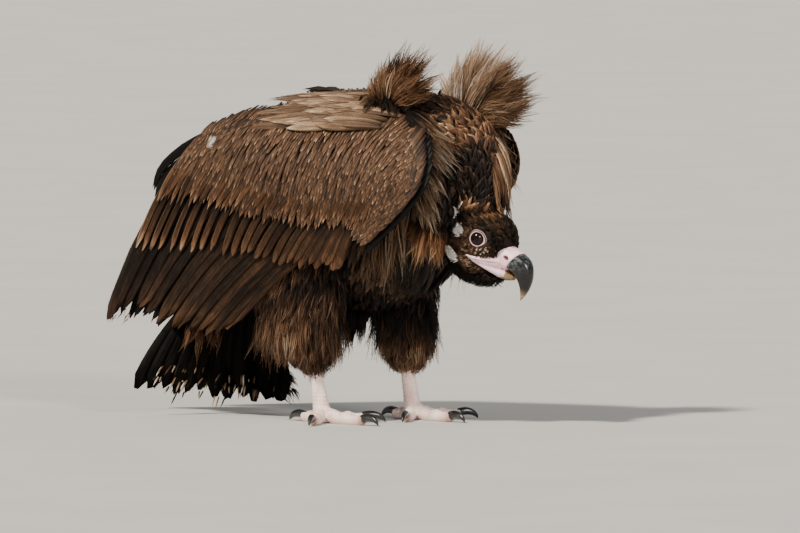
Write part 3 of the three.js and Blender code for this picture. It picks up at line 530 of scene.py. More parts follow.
def scatter(mask, count, draw, jitter=2.0):  # that many skin points, each nudged in its plane
    root = draw.choice(np.flatnonzero(mask), count)
    nudge = draw.uniform(-jitter, jitter, (len(root), 3))
    n = skinNormals[root]
    return root, skinPoints[root] + nudge - n * dot(nudge, n)


def strands(path, face, half, each, draw, lengths=(0.7, 1.0), deep=0.6, few=5):
    # splits each lock into fine strands: each follows the lock at its own place across it and its own length
    count, steps = path.shape[:2]
    side = unit(np.cross(np.gradient(path, axis=1), face))
    across = draw.uniform(-1, 1, (count, each, 1, 1))
    over = draw.uniform(-1, 1, (count, each, 1, 1)) * deep
    reach = draw.uniform(*lengths, (count, each))
    at = np.linspace(0, 1, few)[None, None] * reach[..., None] * (steps - 1)
    i = np.minimum(at.astype(int), steps - 2)[..., None]
    t = at[..., None] - i
    pulled = []
    for along3 in (path, side, face + 0 * path, np.broadcast_to(half, (count, steps))[..., None]):
        here, then = [np.take_along_axis(along3[:, None], i + k, 2) for k in (0, 1)]
        pulled.append(here + (then - here) * t)
    made = pulled[0] + pulled[3] * (pulled[1] * across + pulled[2] * over)
    return made.reshape(-1, few, 3), pulled[2].reshape(-1, few, 3), (at / (steps - 1)).reshape(-1, few)


def sweep(root, way, length, steps, bend=(0.0, 0.0, 0.0)):  # root + (way * u + bend * u^2) * length
    u = np.linspace(0, 1, steps)[None, :, None]
    arc = unit(way)[:, None] * u + np.reshape(bend, (-1, 1, 3)) * u**2
    return root[:, None] + arc * np.reshape(length, (-1, 1, 1))


def tufts(path, face, half, each, draw, seed, shape="lance", columns=5, hair=(0.35, 0.7),
          lengths=(0.75, 1.08), deep=0.5, shade=0.3, rust=0.3, pale=0.3, few=4):
    # locks: each a vane and the fine strands that fray from it; shade and rust are one a lock or one a step
    count, steps = path.shape[:2]
    face = unit(face + 0 * path)
    wide = widths(shape, steps, half)
    shade, rust, pale = [np.broadcast_to(np.reshape(m, (-1, np.shape(m)[1] if np.ndim(m) > 1 else 1)),
                                         (count, steps)) for m in (shade, rust, pale)]
    made = []
    if columns:
        made.append(plumes(path, face, wide, rootOf(path[:, 0]), columns, 0.5, 0.2, 0.08, seed, shade=shade,
                           rust=rust, pale=pale))
    if each:
        hairs, faces, at = strands(path, face, wide * 1.25, each, draw, lengths, deep, few)
        step = np.rint(at * (steps - 1)).astype(int)
        many = np.repeat(np.arange(count), each)[:, None]
        tone = shade[many, np.minimum(step, steps - 1)] + draw.normal(0, 0.07, (len(hairs), 1))
        made.append(plumes(hairs, faces, widths("hair", few, draw.uniform(*hair, len(hairs))),
                           rootOf(hairs[:, 0]), 2, 0.5, 0, 0, seed + 1, shade=tone,
                           rust=rust[many[:, 0], 0], pale=0.2))
    return made


def turned(path, face, degrees):
    # face * cos + side * sin: faces turned about the feather's run, so that it lies over its neighbour
    run = unit(np.gradient(path, axis=1))
    side = unit(np.cross(run, face))
    a = np.radians(np.broadcast_to(degrees, path.shape[:1]))[:, None, None]
    return face * np.cos(a) + side * np.sin(a)


def plumageFinish(name, streak, rough, gloss):
    # keratin vanes: matt, streaked along the barbs, paler where edges and tips are worn
    finish, node = newFinish(name)
    u, v, _ = node("SeparateXYZ", (node("UVMap", uv_map="vane"),)).node.outputs
    reach, chance, shade, rust, pale = [node("Attribute", out=2, attribute_name=mark)
                                        for mark in ("reach", "chance", "shade", "rust", "pale")]
    centred = node("Math", (v, 2.0, -1.0), operation="MULTIPLY_ADD")
    off = node("Math", (centred,), operation="ABSOLUTE")  # 0 at the shaft, 1 at either edge
    run = node("Math", (u, reach), operation="MULTIPLY")  # decimetres from the root
    own = node("Math", (chance, 90.0), operation="MULTIPLY")  # every feather has a pattern of its own
    # barbs slant away from the shaft; real ones lie 0.5 mm apart and are drawn about 2 mm apart to show
    slant = node("Math", (off, -0.05, run), operation="MULTIPLY_ADD")
    across = node("CombineXYZ", (node("Math", (slant, 34.0), operation="MULTIPLY"), v, own))
    barbs = node("TexNoise", {"Vector": across, "Scale": 1.6, "Detail": 3.0})
    lengthways = node("CombineXYZ", (node("Math", (run, 3.0), operation="MULTIPLY"),
                                     node("Math", (v, 9.0), operation="MULTIPLY"), own))
    lines = node("TexNoise", {"Vector": lengthways, "Scale": 1.0, "Detail": 2.0})
    near = node("MapRange", (v, 0.66, 0.98))
    far = node("MapRange", {0: v, 1: 0.22, 2: 0.0, 4: 0.5})
    tip = node("MapRange", {0: u, 1: 0.78, 2: 1.0, 4: 0.9})
    shaft = node("MapRange", (off, 0.0, 0.14, 1.0, 0.0))
    worn = node("Math", (near, far), operation="MAXIMUM")
    worn = node("Math", (worn, tip), operation="MAXIMUM")
    # painted shade: every vane is darker towards its root, where the feathers over it shade it
    tone = node("Math", (node("MapRange", (u, 0.0, 0.5, -0.2, 0.0)), shade), operation="ADD")
    tone = node("Math", (node("Math", (worn, pale), operation="MULTIPLY"), 0.4, tone),
                operation="MULTIPLY_ADD")
    for pattern, strength in ((lines, streak * 1.5), (barbs, streak), (chance, 0.12)):
        swing = node("Math", (pattern, 0.5), operation="SUBTRACT")
        tone = node("Math", (swing, strength, tone), operation="MULTIPLY_ADD")
    tone = node("Math", (shaft, -0.05, tone), operation="MULTIPLY_ADD")
    tone = node("Math", (tone, 0.8), operation="MULTIPLY")  # a shade of 1.25 is the ramps' end
    browns = node("ValToRGB", (tone,),
                  stops=[[0.0, "#040302"], [0.16, "#15100c"], [0.32, "#312419"], [0.48, "#57412f"],
                         [0.64, "#836b55"], [0.8, "#b9a58d"], [1.0, "#ffffff"]])
    reds = node("ValToRGB", (tone,),
                stops=[[0.0, "#060302"], [0.16, "#1a0f09"], [0.32, "#3b2314"], [0.48, "#633f28"],
                       [0.64, "#906646"], [0.8, "#bd9a72"], [1.0, "#fffaf2"]])
    both = node("MixRGB", (rust, browns, reds))
    rise = node("Math", (barbs, 0.6, shaft), operation="MULTIPLY_ADD")
    endFinish(node, both, rough, rise, 0.35, 0.0006, {"Specular IOR Level": gloss})
    return finish


softFeather = plumageFinish("contour feather keratin", streak=0.3, rough=0.62, gloss=0.22)
stiffFeather = plumageFinish("flight feather keratin", streak=0.32, rough=0.62, gloss=0.08)
downFeather = plumageFinish("down and bristle keratin", streak=0.2, rough=0.7, gloss=0.15)


def skinFinish():
    # bare bird skin under the coat: dull and finely pimpled where feathers leave it, 2 mm apart
    finish, node = newFinish("feathered bird skin")
    here = node("TexCoord", out=3)
    grain = node("TexNoise", {"Vector": here, "Scale": 400.0, "Detail": 4.0})
    pimples = node("TexVoronoi", {"Vector": here, "Scale": 500.0})
    # painted shade: the skin takes the coat's markings darkened, for the shade in the gaps between feathers
    tone = node("Math", (node("Attribute", out=2, attribute_name="shade"), 0.6, -0.06),
                operation="MULTIPLY_ADD")
    tone = node("Math", (grain, 0.1, tone), operation="MULTIPLY_ADD")
    browns = node("ValToRGB", (tone,), stops=[[0.0, "#070403"], [0.2, "#1c120c"], [0.5, "#4a3422"],
                                              [0.8, "#b59a78"], [1.0, "#fffdf8"]])
    reds = node("ValToRGB", (tone,), stops=[[0.0, "#090403"], [0.2, "#22120b"], [0.5, "#56331c"],
                                            [0.8, "#b68c5c"], [1.0, "#fffaf0"]])
    both = node("MixRGB", (node("Attribute", out=2, attribute_name="rust"), browns, reds))
    endFinish(node, both, 0.75, pimples, 0.4, 0.0004, {"Specular IOR Level": 0.2})
    return finish


# the skin piece, and the unwrap that every feather takes its place from
skinPart = np.array(limbNames)[skinLimb]
skinShade, skinRust = markings(skinPoints, skinPart)
skinPiece = makePiece("skin", skinPoints, [skinFaces], skinFinish(),
                      ("head", "neck", "torso", "thigh_right", "thigh_left", "ruff_right", "ruff_left",
                       "wing_right", "wing_left", "tail"), None, {"shade": skinShade, "rust": skinRust})
bpy.context.view_layer.objects.active = skinPiece
skinPiece.select_set(True)
bpy.ops.object.mode_set(mode="EDIT")
bpy.ops.mesh.select_all(action="SELECT")
bpy.ops.uv.smart_project(angle_limit=math.radians(75), island_margin=0.002)
bpy.ops.object.mode_set(mode="OBJECT")
skinLayer = skinPiece.data.uv_layers[0]
skinLayer.name = "OFBake"
cornerUv = np.empty(len(skinPiece.data.loops) * 2)
skinLayer.data.foreach_get("uv", cornerUv)
skinMap = np.zeros((len(skinPoints), 2))
skinMap[skinFaces.ravel()] = cornerUv.reshape(-1, 2)
skinMap = np.clip(skinMap, 0.002, 0.998)
print("skin: unwrapped")


def rootOf(p):  # the skin point that a feather's root is nearest to
    near = nearSkin.find(p)
    return np.where(near < 0, 0, near)


# wings: tables run from the front of a row to its back, as share, x, z in side view
wing = {
    "primaryCount": 10, "flightCount": 15, "barbCount": 22, "greaterCount": 26, "medianCount": 34, "rows": 13,
    "edgeCount": 28,
    "flightRoot": [[0, 108, 332], [0.5, -70, 340], [1, -286, 384]],
    "flightTip": [[0, -186, 132], [0.25, -262, 134], [0.5, -330, 146], [0.75, -392, 162], [1, -464, 140]],
    "greaterRoot": [[0, 84, 318], [0.4, -14, 318], [0.8, -220, 350], [1, -300, 372]],
    "greaterTip": [[0, 42, 238], [0.1, 22, 236], [0.3, -40, 240], [0.6, -160, 252], [1, -386, 250]],
    "medianRoot": [[0, 126, 372], [0.5, -40, 368], [0.8, -210, 392], [1, -262, 414]],
    "medianTip": [[0, 90, 296], [0.4, -34, 300], [0.8, -256, 322], [1, -330, 318]],
    "topEdge": [[0, 176, 410], [0.1, 157, 446], [0.22, 116, 470], [0.4, 30, 479], [0.6, -60, 480],
                [0.85, -174, 468], [1, -234, 444]],
    "lowRow": [[0, 150, 352], [0.12, 118, 344], [0.5, -44, 340], [0.85, -222, 372], [1, -284, 392]],
    "sweep": [[-320, -0.75], [-220, -0.5], [-100, -0.22], [60, -0.14], [120, -0.36], [185, -0.7]],
    "frontEdge": [[0, 164, 436], [0.2, 183, 400], [0.36, 185, 368], [0.5, 168, 338], [0.75, 132, 304],
                  [1, 98, 276]],
    "frontWay": [[0, -0.2, -1], [0.3, -0.3, -1], [0.5, -0.75, -0.85], [1, -0.8, -0.62]],
}


def wingFeather(root, tip, lift, side, steps, bow=0.0):
    # root + run * q + across * bow * sin(pi * q) in side view (x, z), laid over the wing's surface
    q = np.linspace(0, 1, steps)[None]
    run = tip - root
    length = np.linalg.norm(run, axis=-1)[:, None]
    arc = np.reshape(bow, (-1, 1)) * np.sin(np.pi * q)
    x = root[:, :1] + run[:, :1] * q + run[:, 1:] / length * arc
    z = root[:, 1:] + run[:, 1:] * q - run[:, :1] / length * arc
    height = mix(np.reshape(lift[0], (-1, 1)), np.reshape(lift[1], (-1, 1)), q)
    return onWing(x, z, height + 0 * x, side)


def widths(shape, steps, half):  # the half-width at each step: the shape's share of the widest
    return along(shapes[shape], np.linspace(0, 1, steps))[:, 0][None] * np.reshape(half, (-1, 1))


def wingCoat(side, seed):
    # row over row from the flight feathers up: roots and tips run along two curves of the wing table, and
    # each feather lies over the wing's surface between them, turned to overlap its neighbour
    draw = np.random.default_rng(seed)
    word = "right" if side < 0 else "left"
    flights, coverts, small = [], [], []
    n = wing["primaryCount"]  # the long primaries under the rest, seen only below and behind
    share = np.linspace(0, 1, n)
    root = vec(mix(20, -256, share), mix(292, 386, share))
    tip = vec(mix(-285, -436, share), mix(136, 150, share)) + draw.uniform(-5, 5, (n, 2))
    path, face = wingFeather(root, tip, (-9, -10), side, 12, 10)
    flights += tufts(path, turned(path, face, 3 * -side), 12.5, 10, draw, seed + 1, "quill", 7, (0.4, 0.8),
                     (0.8, 1.03), 0.1, shade=0.0, rust=0.2, pale=0.05)
    n = wing["flightCount"]
    share = (np.arange(n) + 0.3) / n
    root = along(wing["flightRoot"], share)
    tip = along(wing["flightTip"], share) + draw.uniform(-6, 6, (n, 2))
    path, face = wingFeather(root, tip, (-5 + 3 * share, -7 + 6 * share), side, 18, 12)
    tone = mix(0.27, 0.15, ease(0.3, 0.95, share)) + draw.uniform(-0.04, 0.04, n)
    tone = tone[:, None] + 0 * path[..., 0]
    flights += tufts(path, turned(path, face, 11 * -side), draw.uniform(12.5, 14, n),
                     12, draw, seed + 2, "quill", 9, (0.35, 0.6), (0.86, 1.02), 0.08, shade=tone, rust=0.25,
                     pale=draw.uniform(0.5, 1.0, n))
    n = wing["barbCount"]  # worn barbs sticking out past the hindmost tips
    root = vec(draw.uniform(-452, -400, n), draw.uniform(142, 178, n))
    tip = root + vec(draw.uniform(-14, -4, n), draw.uniform(-16, -8, n))
    path, face = wingFeather(root, tip, (-5, -5), side, 4)
    flights.append(plumes(path, face, widths("hair", 4, 0.9), rootOf(path[:, 0]), 2, 0.6, 0, 0, seed + 3,
                          shade=draw.uniform(0.1, 1.1, n), rust=0.1, pale=0.2))
    n = wing["greaterCount"]
    share = (np.arange(n) + 0.5) / n
    root = along(wing["greaterRoot"], share)
    tip = along(wing["greaterTip"], share) + draw.uniform(-4, 4, (n, 2))
    path, face = wingFeather(root, tip, (-3 + 2 * share, 1 + 3 * share), side, 12, draw.uniform(3, 6, n))
    fade = np.linspace(-0.1, 0.1, 12)[None] * mix(0.4, 1.6, ease(0.3, 0.9, share))[:, None]
    coverts += tufts(path, turned(path, face, 12 * -side), mix(12, 7.6, ease(0.05, 0.4, share)),
                     8, draw, seed + 4, "quill", 7, (0.35, 0.6), (0.8, 1.02), 0.1,
                     shade=draw.uniform(0.29, 0.39, n)[:, None] + fade, rust=draw.uniform(0.2, 0.45, n),
                     pale=draw.uniform(0.3, 0.7, n) + 0.5 * ease(0.6, 0.9, share))
    n = wing["medianCount"]
    for shift, high in ((0.0, 0.0), (0.5, 1.2)):
        share = (np.arange(n) + 0.25 + shift) / n
        root = along(wing["medianRoot"], share)
        tip = along(wing["medianTip"], share) + draw.uniform(-6, 6, (n, 2)) + [3 * shift, 18 * shift]
        path, face = wingFeather(root, tip, (-1 + high + 0 * share, 3.5 + high + share), side, 8,
                                 draw.uniform(1, 4, n))
        coverts += tufts(path, turned(path, face, 7 * -side), draw.uniform(5.8, 7, n), 4, draw, seed + 5,
                         "leaf", 5, (0.3, 0.5), (0.8, 1.04), 0.15, shade=draw.uniform(0.32, 0.5, n),
                         rust=draw.uniform(0.2, 0.45, n), pale=draw.uniform(0.4, 1.2, n))
    rows = wing["rows"]
    for row in range(rows):  # lesser coverts, row over row from the lowest up
        t = 1 - row / (rows - 1)
        n = int(mix(104, 74, t))
        share = (np.arange(n) + draw.uniform(0.1, 0.9, n)) / n
        root = mix(along(wing["topEdge"], share), along(wing["lowRow"], share), t)
        root = root + draw.uniform(-3, 3, (n, 2))
        slope = along(wing["sweep"], root[:, 0])[:, 0] + draw.uniform(-0.08, 0.08, n)
        length = mix(21, 40, t) * draw.uniform(0.85, 1.2, n) * mix(0.7, 1, ease(0.0, 0.3, share))
        tip = root + unit(vec(slope, -1)) * length[:, None]
        path, face = wingFeather(root, tip, (0.5 + 0 * share, 4.2 + 0 * share), side, 6,
                                 draw.uniform(-1, 2, n))
        small += tufts(path, turned(path, face, draw.uniform(4, 11, n) * -side),
                       mix(3.5, 4.6, t) * draw.uniform(0.85, 1.2, n), 3 * (t < 0.35),
                       draw, seed + 10 + 2 * row, "leaf", 3, (0.25, 0.45), (0.8, 1.15), 0.3, few=3,
                       shade=draw.uniform(0.36, 0.52, n)
                       + np.where(share < 0.7, 0.1 * ease(0.7, 0.2, t), 0.05),
                       rust=draw.uniform(0.2, 0.4, n), pale=draw.uniform(0.2, 1.4, n))
    n = wing["edgeCount"]  # coverts along the front edge below the wrist, lying along it
    # painted shadow: the outermost row, on the right wing only, is black, for the shade below the wing's
    # front edge
    for layer in range(-1 if side < 0 else 0, 5):  # the outermost ones are black, under the rest
        share = (np.arange(n) + draw.uniform(0.1, 0.9, n)) / n
        way = unit(along(wing["frontWay"], share))
        root = along(wing["frontEdge"], share) - way * 16 + vec(way[:, 1], -way[:, 0]) * (7.5 * layer + 2)
        root = root + draw.uniform(-1.5, 1.5, (n, 2))
        tip = root + way * draw.uniform(24, 36, n)[:, None]
        path, face = wingFeather(root, tip, (-7, -6) if layer < 0 else (1, 4.5 - 0.5 * layer), side, 6, 1.0)
        small += tufts(path, turned(path, face, draw.uniform(4, 10, n) * -side),
                       draw.uniform(5, 6.4, n), 0, draw, seed + 60 + 2 * layer,
                       "leaf", 5, shade=draw.uniform(0.34, 0.5, n) - 0.5 * (layer < 0),
                       rust=draw.uniform(0.15, 0.35, n), pale=draw.uniform(0.5, 1.4, n) * (layer >= 0))
    # three long black inner feathers stick out behind, and a wisp of white down is caught in the coverts
    if side < 0:
        i = np.arange(3)[:, None]
        row = along([[0, -200, -68, 440], [0.4, -269, -60, 417], [0.65, -315, -54, 394],
                     [0.85, -347, -50, 368], [1, -361, -46, 343]], np.linspace(0, 1, 12))[None]
        path = vec(row[..., 0] + 10 * i, row[..., 1] - 8 * i, row[..., 2] - 14 * i)
        # dark feathers, painted near black for the shade they lie in
        flights += tufts(path, np.array([-0.2, -0.75, 0.6]), 13, 12, draw, seed + 6, "quill", 7, (0.4, 0.7),
                         (0.8, 1.02), 0.1, shade=0.02, rust=0.2, pale=0.1)
        root = np.array([[-222.0, 414]]) + draw.uniform(-4, 4, (18, 2))
        way = unit(draw.normal(0, 1, (18, 2)) + [1.2, 0.3])
        tip = root + way * draw.uniform(5, 12, (18, 1))
        path, face = wingFeather(root, tip, (4, 6), side, 5, 2)
        small += tufts(path, face, 1.6, 9, draw, seed + 7, "brush", 0, (0.14, 0.26), (0.7, 1.2), 1.0,
                       shade=1.1, rust=0.1, pale=0.5)
    coatPiece("flight_feathers_" + word, flights, stiffFeather)
    coatPiece("wing_coverts_" + word, coverts, stiffFeather)
    coatPiece("lesser_coverts_" + word, small, softFeather)


wingCoat(-1, 100)
wingCoat(1, 200)
print("wings: feathered")


def bodyFlow(p, part):
    # backwards along the trunk, down over the breast, down the thighs, and up round the bend of the neck
    x, z = p[..., 0], p[..., 2]
    front = (ease(60, 165, x) * (1 - ease(410, 455, z)))[..., None]
    trunk = mix(np.array([-1.0, 0, -0.18]), np.array([-0.3, 0, -1]), front)
    bend = unit(vec(350 - z, 0 * x, x - 140))
    thigh = vec(-0.3 + 0 * x, 0, -1)
    way = np.where((part == "neck")[..., None], bend, trunk)
    way = np.where(np.char.startswith(part, "thigh")[..., None], thigh, way)
    return np.where((part == "head")[..., None], -headAhead + 0 * way, way)


def coatGroup(root, p, draw, length, half, steps, rise, seed, shape="lance", columns=3, droop=0.0,
              each=0, swing=0.15, flow=None, lighter=0.0, redder=0.0, pale=(0.2, 0.7), settleDown=0.6,
              hair=(0.35, 0.7), few=4, deep=0.5, spots=0.0, tips=0.0):
    # a lock at each root, combed along the flow and swung a little off it, in the skin's own markings there
    part = skinPart[root]
    way = unit(bodyFlow(p, part) if flow is None else flow)
    way = unit(way + draw.normal(0, swing, way.shape))
    n = len(root)
    path, face = comb(p, way, length * draw.uniform(0.8, 1.2, n), steps, rise, droop, settleDown)
    shade, rust = markings(p, part)
    shade = shade + lighter + draw.normal(0, 0.06, n) + spots * draw.uniform(-1, 1, n)
    shade = shade[:, None] + np.linspace(-0.3, 0.7, steps)[None] * tips  # paler towards the tips
    rust = np.clip(rust + redder + draw.normal(0, 0.1, n), 0, 1)
    return tufts(path, turned(path, face, draw.uniform(-12, 12, n)), half * draw.uniform(0.8, 1.2, n), each,
                 draw, seed, shape, columns, hair, shade=shade, rust=rust, pale=draw.uniform(*pale, n),
                 few=few, deep=deep)


def clearOfWings(p):  # whether a place on the trunk isn't hidden under a folded wing
    row = along(body["arm"], p[..., 0])
    lower = np.where(p[..., 1] > 0, 16, 0)
    inBand = (p[..., 2] > row[..., 0] + lower + 26) & (p[..., 2] < row[..., 1] - 8)
    return ~(inBand & (np.abs(p[..., 1]) > 34) & (p[..., 0] < 130))


# body coat: small feathers over breast, belly, back, neck, thighs and head. Apart is how far its roots are
# from each other, or count how many there are; half is the widest lock's half-width, rise its height over the
# skin by share of its length, columns 0 a lock without a vane, each its strands, swing how far it strays,
# pale how worn its edges are, deep how far the strands leave its plane
coats = {
    "breast_feathers": {"apart": 13, "nudge": 3, "length": (20, 40), "half": 6.4, "steps": 5,
                        "rise": [[0, 0], [0.4, 5], [1, 6]], "seed": 300, "shape": "leaf", "droop": 0.1,
                        "each": 1, "pale": (0, 0.2)},
    "breast_plumes": {"apart": 15, "nudge": 5, "length": (56, 88), "half": 5.6, "steps": 8,
                      "rise": [[0, 2], [0.4, 9], [1, 16]], "seed": 302, "droop": 0.2, "each": 9,
                      "swing": 0.14, "pale": (0.3, 0.9), "settleDown": 0.35, "spots": 0.1, "deep": 0.7},
    "belly_down": {"apart": 15, "nudge": 4, "length": 34, "half": 5.5, "steps": 6,
                   "rise": [[0, 0], [0.3, 8], [1, 24]], "seed": 304, "droop": 0.4, "each": 4, "swing": 0.4,
                   "settleDown": 0.3, "deep": 0.8},
    "back_feathers": {"apart": 12, "nudge": 3, "length": 52, "half": 8,
                      "steps": 6, "rise": [[0, 0], [0.4, 7], [1, 9]], "seed": 310, "shape": "leaf",
                      "columns": 5, "each": 2},
    "neck_feathers": {"apart": 6.6, "nudge": 2.4, "length": 25, "half": 3.6, "steps": 5,
                      "rise": [[0, 0], [0.4, 4.5], [1, 8]], "seed": 320, "each": 3, "swing": 0.4,
                      "pale": (0.1, 1.1), "spots": 0.18, "tips": 0.1, "hair": (0.3, 0.55), "few": 3},
    "mantle_plumes": {"apart": 8, "nudge": 2, "length": 92, "half": 4.6, "steps": 9,
                      "rise": [[0, 1], [0.4, 9], [1, 15]], "seed": 330, "droop": 0.05, "each": 10,
                      "swing": 0.08, "redder": -0.1, "pale": (0.2, 0.8), "spots": 0.25, "settleDown": 0.45},
    "thigh_feathers": {"apart": 11, "nudge": 4, "length": (30, 46), "half": 5, "steps": 6,
                       "rise": [[0, 0], [0.35, 6], [1, 10]], "columns": 0, "droop": 0.1,
                       "each": 8, "swing": 0.24, "spots": 0.14, "settleDown": 0.55, "hair": (0.35, 0.75),
                       "tips": 0.16, "deep": 0.7},
    "wing_edge": {"apart": 7.5, "nudge": 2, "length": 19, "half": 4.4, "steps": 5,
                  "rise": [[0, 0], [0.4, 3], [1, 4.5]], "shape": "leaf", "columns": 5, "swing": 0.1,
                  "lighter": -0.02, "pale": (0.2, 0.8)},
    "head_down": {"count": 2050, "nudge": 3, "half": 2.6,
                  "steps": 4, "rise": [[0, 0], [0.4, 3.4], [1, 5.5]], "seed": 410, "columns": 0,
                  "each": 5, "swing": 0.24, "settleDown": 0.5, "hair": (0.4, 0.75), "few": 3, "deep": 0.3,
                  "spots": 0.12},
    "chin_bristles": {"count": 380, "nudge": 2, "length": 17, "half": 2.0, "steps": 5,
                      "rise": [[0, 0], [0.4, 5], [1, 11]], "seed": 420, "shape": "hair", "columns": 0,
                      "droop": 0.3, "each": 4, "swing": 0.3, "settleDown": 0.4, "hair": (0.3, 0.5)},
    "lore_bristles": {"count": 260, "nudge": 1, "length": 11, "half": 0.6, "steps": 4,
                      "rise": [[0, 0], [0.4, 3], [1, 7]], "seed": 430, "shape": "hair", "columns": 2,
                      "swing": 0.35, "settleDown": 0.4, "lighter": -0.12},
}
x, y, z = skinPoints.T
isTorso, isNeck, isHead = (skinPart == name for name in ("torso", "neck", "head"))
seen = clearOfWings(skinPoints)
byFace = (x > 140) & (z < 345)  # the breast behind the head, which its feathers must leave free


def sow(name, mask, draw):
    # a coat's roots among a mask's skin points: as many as its count, or so far apart
    coat = coats[name]
    if "count" in coat:
        return scatter(mask, coat["count"], draw, coat["nudge"])
    return pick(mask, coat["apart"], draw, coat["nudge"])


def growth(name):  # a coat's values without those that say where it is sown and how long it grows
    return {key: value for key, value in coats[name].items()
            if key not in ("apart", "count", "nudge", "length")}


def layCoat(name, root, p, draw, length=None, finish=softFeather, slot="body_plumage", **more):
    # one combed coat as one piece, with the values that the coats table has under its name
    length = coats[name]["length"] if length is None else length
    coatPiece(name, coatGroup(root, p, draw, length, **growth(name), **more), finish)


draw = np.random.default_rng(31)
root, p = sow("breast_feathers", isTorso & seen & ((x > 40) | (z < 330)), draw)
layCoat("breast_feathers", root, p, draw, np.where(byFace[root], *coats["breast_feathers"]["length"]))
plumed = isTorso & (np.abs(y) > 24) & (z > 225) & (z < 410)
plumed &= (x > -10) & (x < mix(150, 168, ease(345, 400, z)))
root, p = sow("breast_plumes", plumed & (seen | (z < 345)), draw)
size = mix(*coats["breast_plumes"]["length"], ease(20, 110, p[:, 0])) * mix(0.7, 1, ease(225, 300, p[:, 2]))
# painted shade: the plumes on the breast's lower front, below the face, go near black for the shade there
tone = (0.2 + 0.06 * ease(20, 110, p[:, 0])) * (1 - 0.9 * ease(105, 140, p[:, 0]) * ease(325, 295, p[:, 2]))
layCoat("breast_plumes", root, p, draw, size, lighter=tone)
root, p = sow("belly_down", isTorso & (skinNormals[:, 2] < -0.35) & (x > -110) & (x < 120), draw)
layCoat("belly_down", root, p, draw, finish=downFeather, flow=np.array([-0.35, 0, -0.7]) + 0 * p)
root, p = sow("back_feathers", isTorso & seen & (z >= 330) & (x <= 60), draw)
layCoat("back_feathers", root, p, draw)

draw = np.random.default_rng(32)
root, p = sow("neck_feathers", isNeck, draw)
clumps = 0.1 * np.sin(p @ [0.17, 0.11, 0.21]) * np.sin(p @ [-0.2, 0.16, 0.12] + 1)
layCoat("neck_feathers", root, p, draw, lighter=clumps + 0.02 * ease(400, 430, p[:, 2]))
sideways = 0.819 * x + 0.574 * y  # how far round towards the left wing
onMantle = (sideways > 178) & (sideways < 204) & (z > 408) & (z < 462) & (y < 60)
root, p = sow("mantle_plumes", (isNeck | isTorso) & onMantle, draw)
layCoat("mantle_plumes", root, p, draw, flow=unit(vec(0.3 + 0 * p[:, 0], 0.2, -1)),
        lighter=0.1 + 0.14 * ease(405, 450, p[:, 2]))

hem = {"apart": 11, "nudge": 3, "length": (16, 58), "half": 4.8, "each": 8, "rust": 0.4}  # of the calves
for word, n in (("Right", 33), ("Left", 34)):
    draw = np.random.default_rng(n)
    isThigh = skinPart == "thigh" + word
    root, p = sow("thigh_feathers", isThigh, draw)
    size = mix(*coats["thigh_feathers"]["length"], ease(110, 230, p[:, 2]))
    groups = coatGroup(root, p, draw, size, seed=n * 10, **growth("thigh_feathers"))
    # the ragged hem hangs straight down off the calf
    root, p = pick(isThigh & (z < 170), hem["apart"], draw, hem["nudge"])
    out = skinNormals[root] * [1, 1, 0]
    size = mix(*hem["length"], ease(85, 165, p[:, 2])) * draw.uniform(0.7, 1.1, len(p))
    path = sweep(p + skinNormals[root] * 2, out * 0.12 + [0, 0, -1], size, 6,
                 draw.normal(0, 0.1, (len(p), 3)))
    tone = markings(p, "thigh" + word)[0] + draw.normal(0, 0.12, len(p))
    tone = tone[:, None] + np.linspace(-0.04, 0.14, 6)[None]
    groups += tufts(path, (out + [0, 0, 0.2])[:, None], hem["half"], hem["each"], draw, n * 10 + 2, "lance",
                    0, (0.35, 0.7), (0.7, 1.15), 0.9, shade=tone, rust=hem["rust"])
    coatPiece("thigh_feathers_" + word.lower(), groups, softFeather)

for word, n in (("Right", 35), ("Left", 36)):
    draw = np.random.default_rng(n)
    rim = (skinNormals[:, 0] > 0.3) & (x > 100) | (skinNormals[:, 2] > 0.75) & (z > 420)
    root, p = sow("wing_edge", (skinPart == "wing" + word) & rim, draw)
    groups = coatGroup(root, p, draw, coats["wing_edge"]["length"], seed=n * 10,
                       flow=vec(-0.3 + 0 * p[:, 0], 0, -1), **growth("wing_edge"))
    coatPiece("wing_edge_" + word.lower(), groups, softFeather)
print("body: feathered")

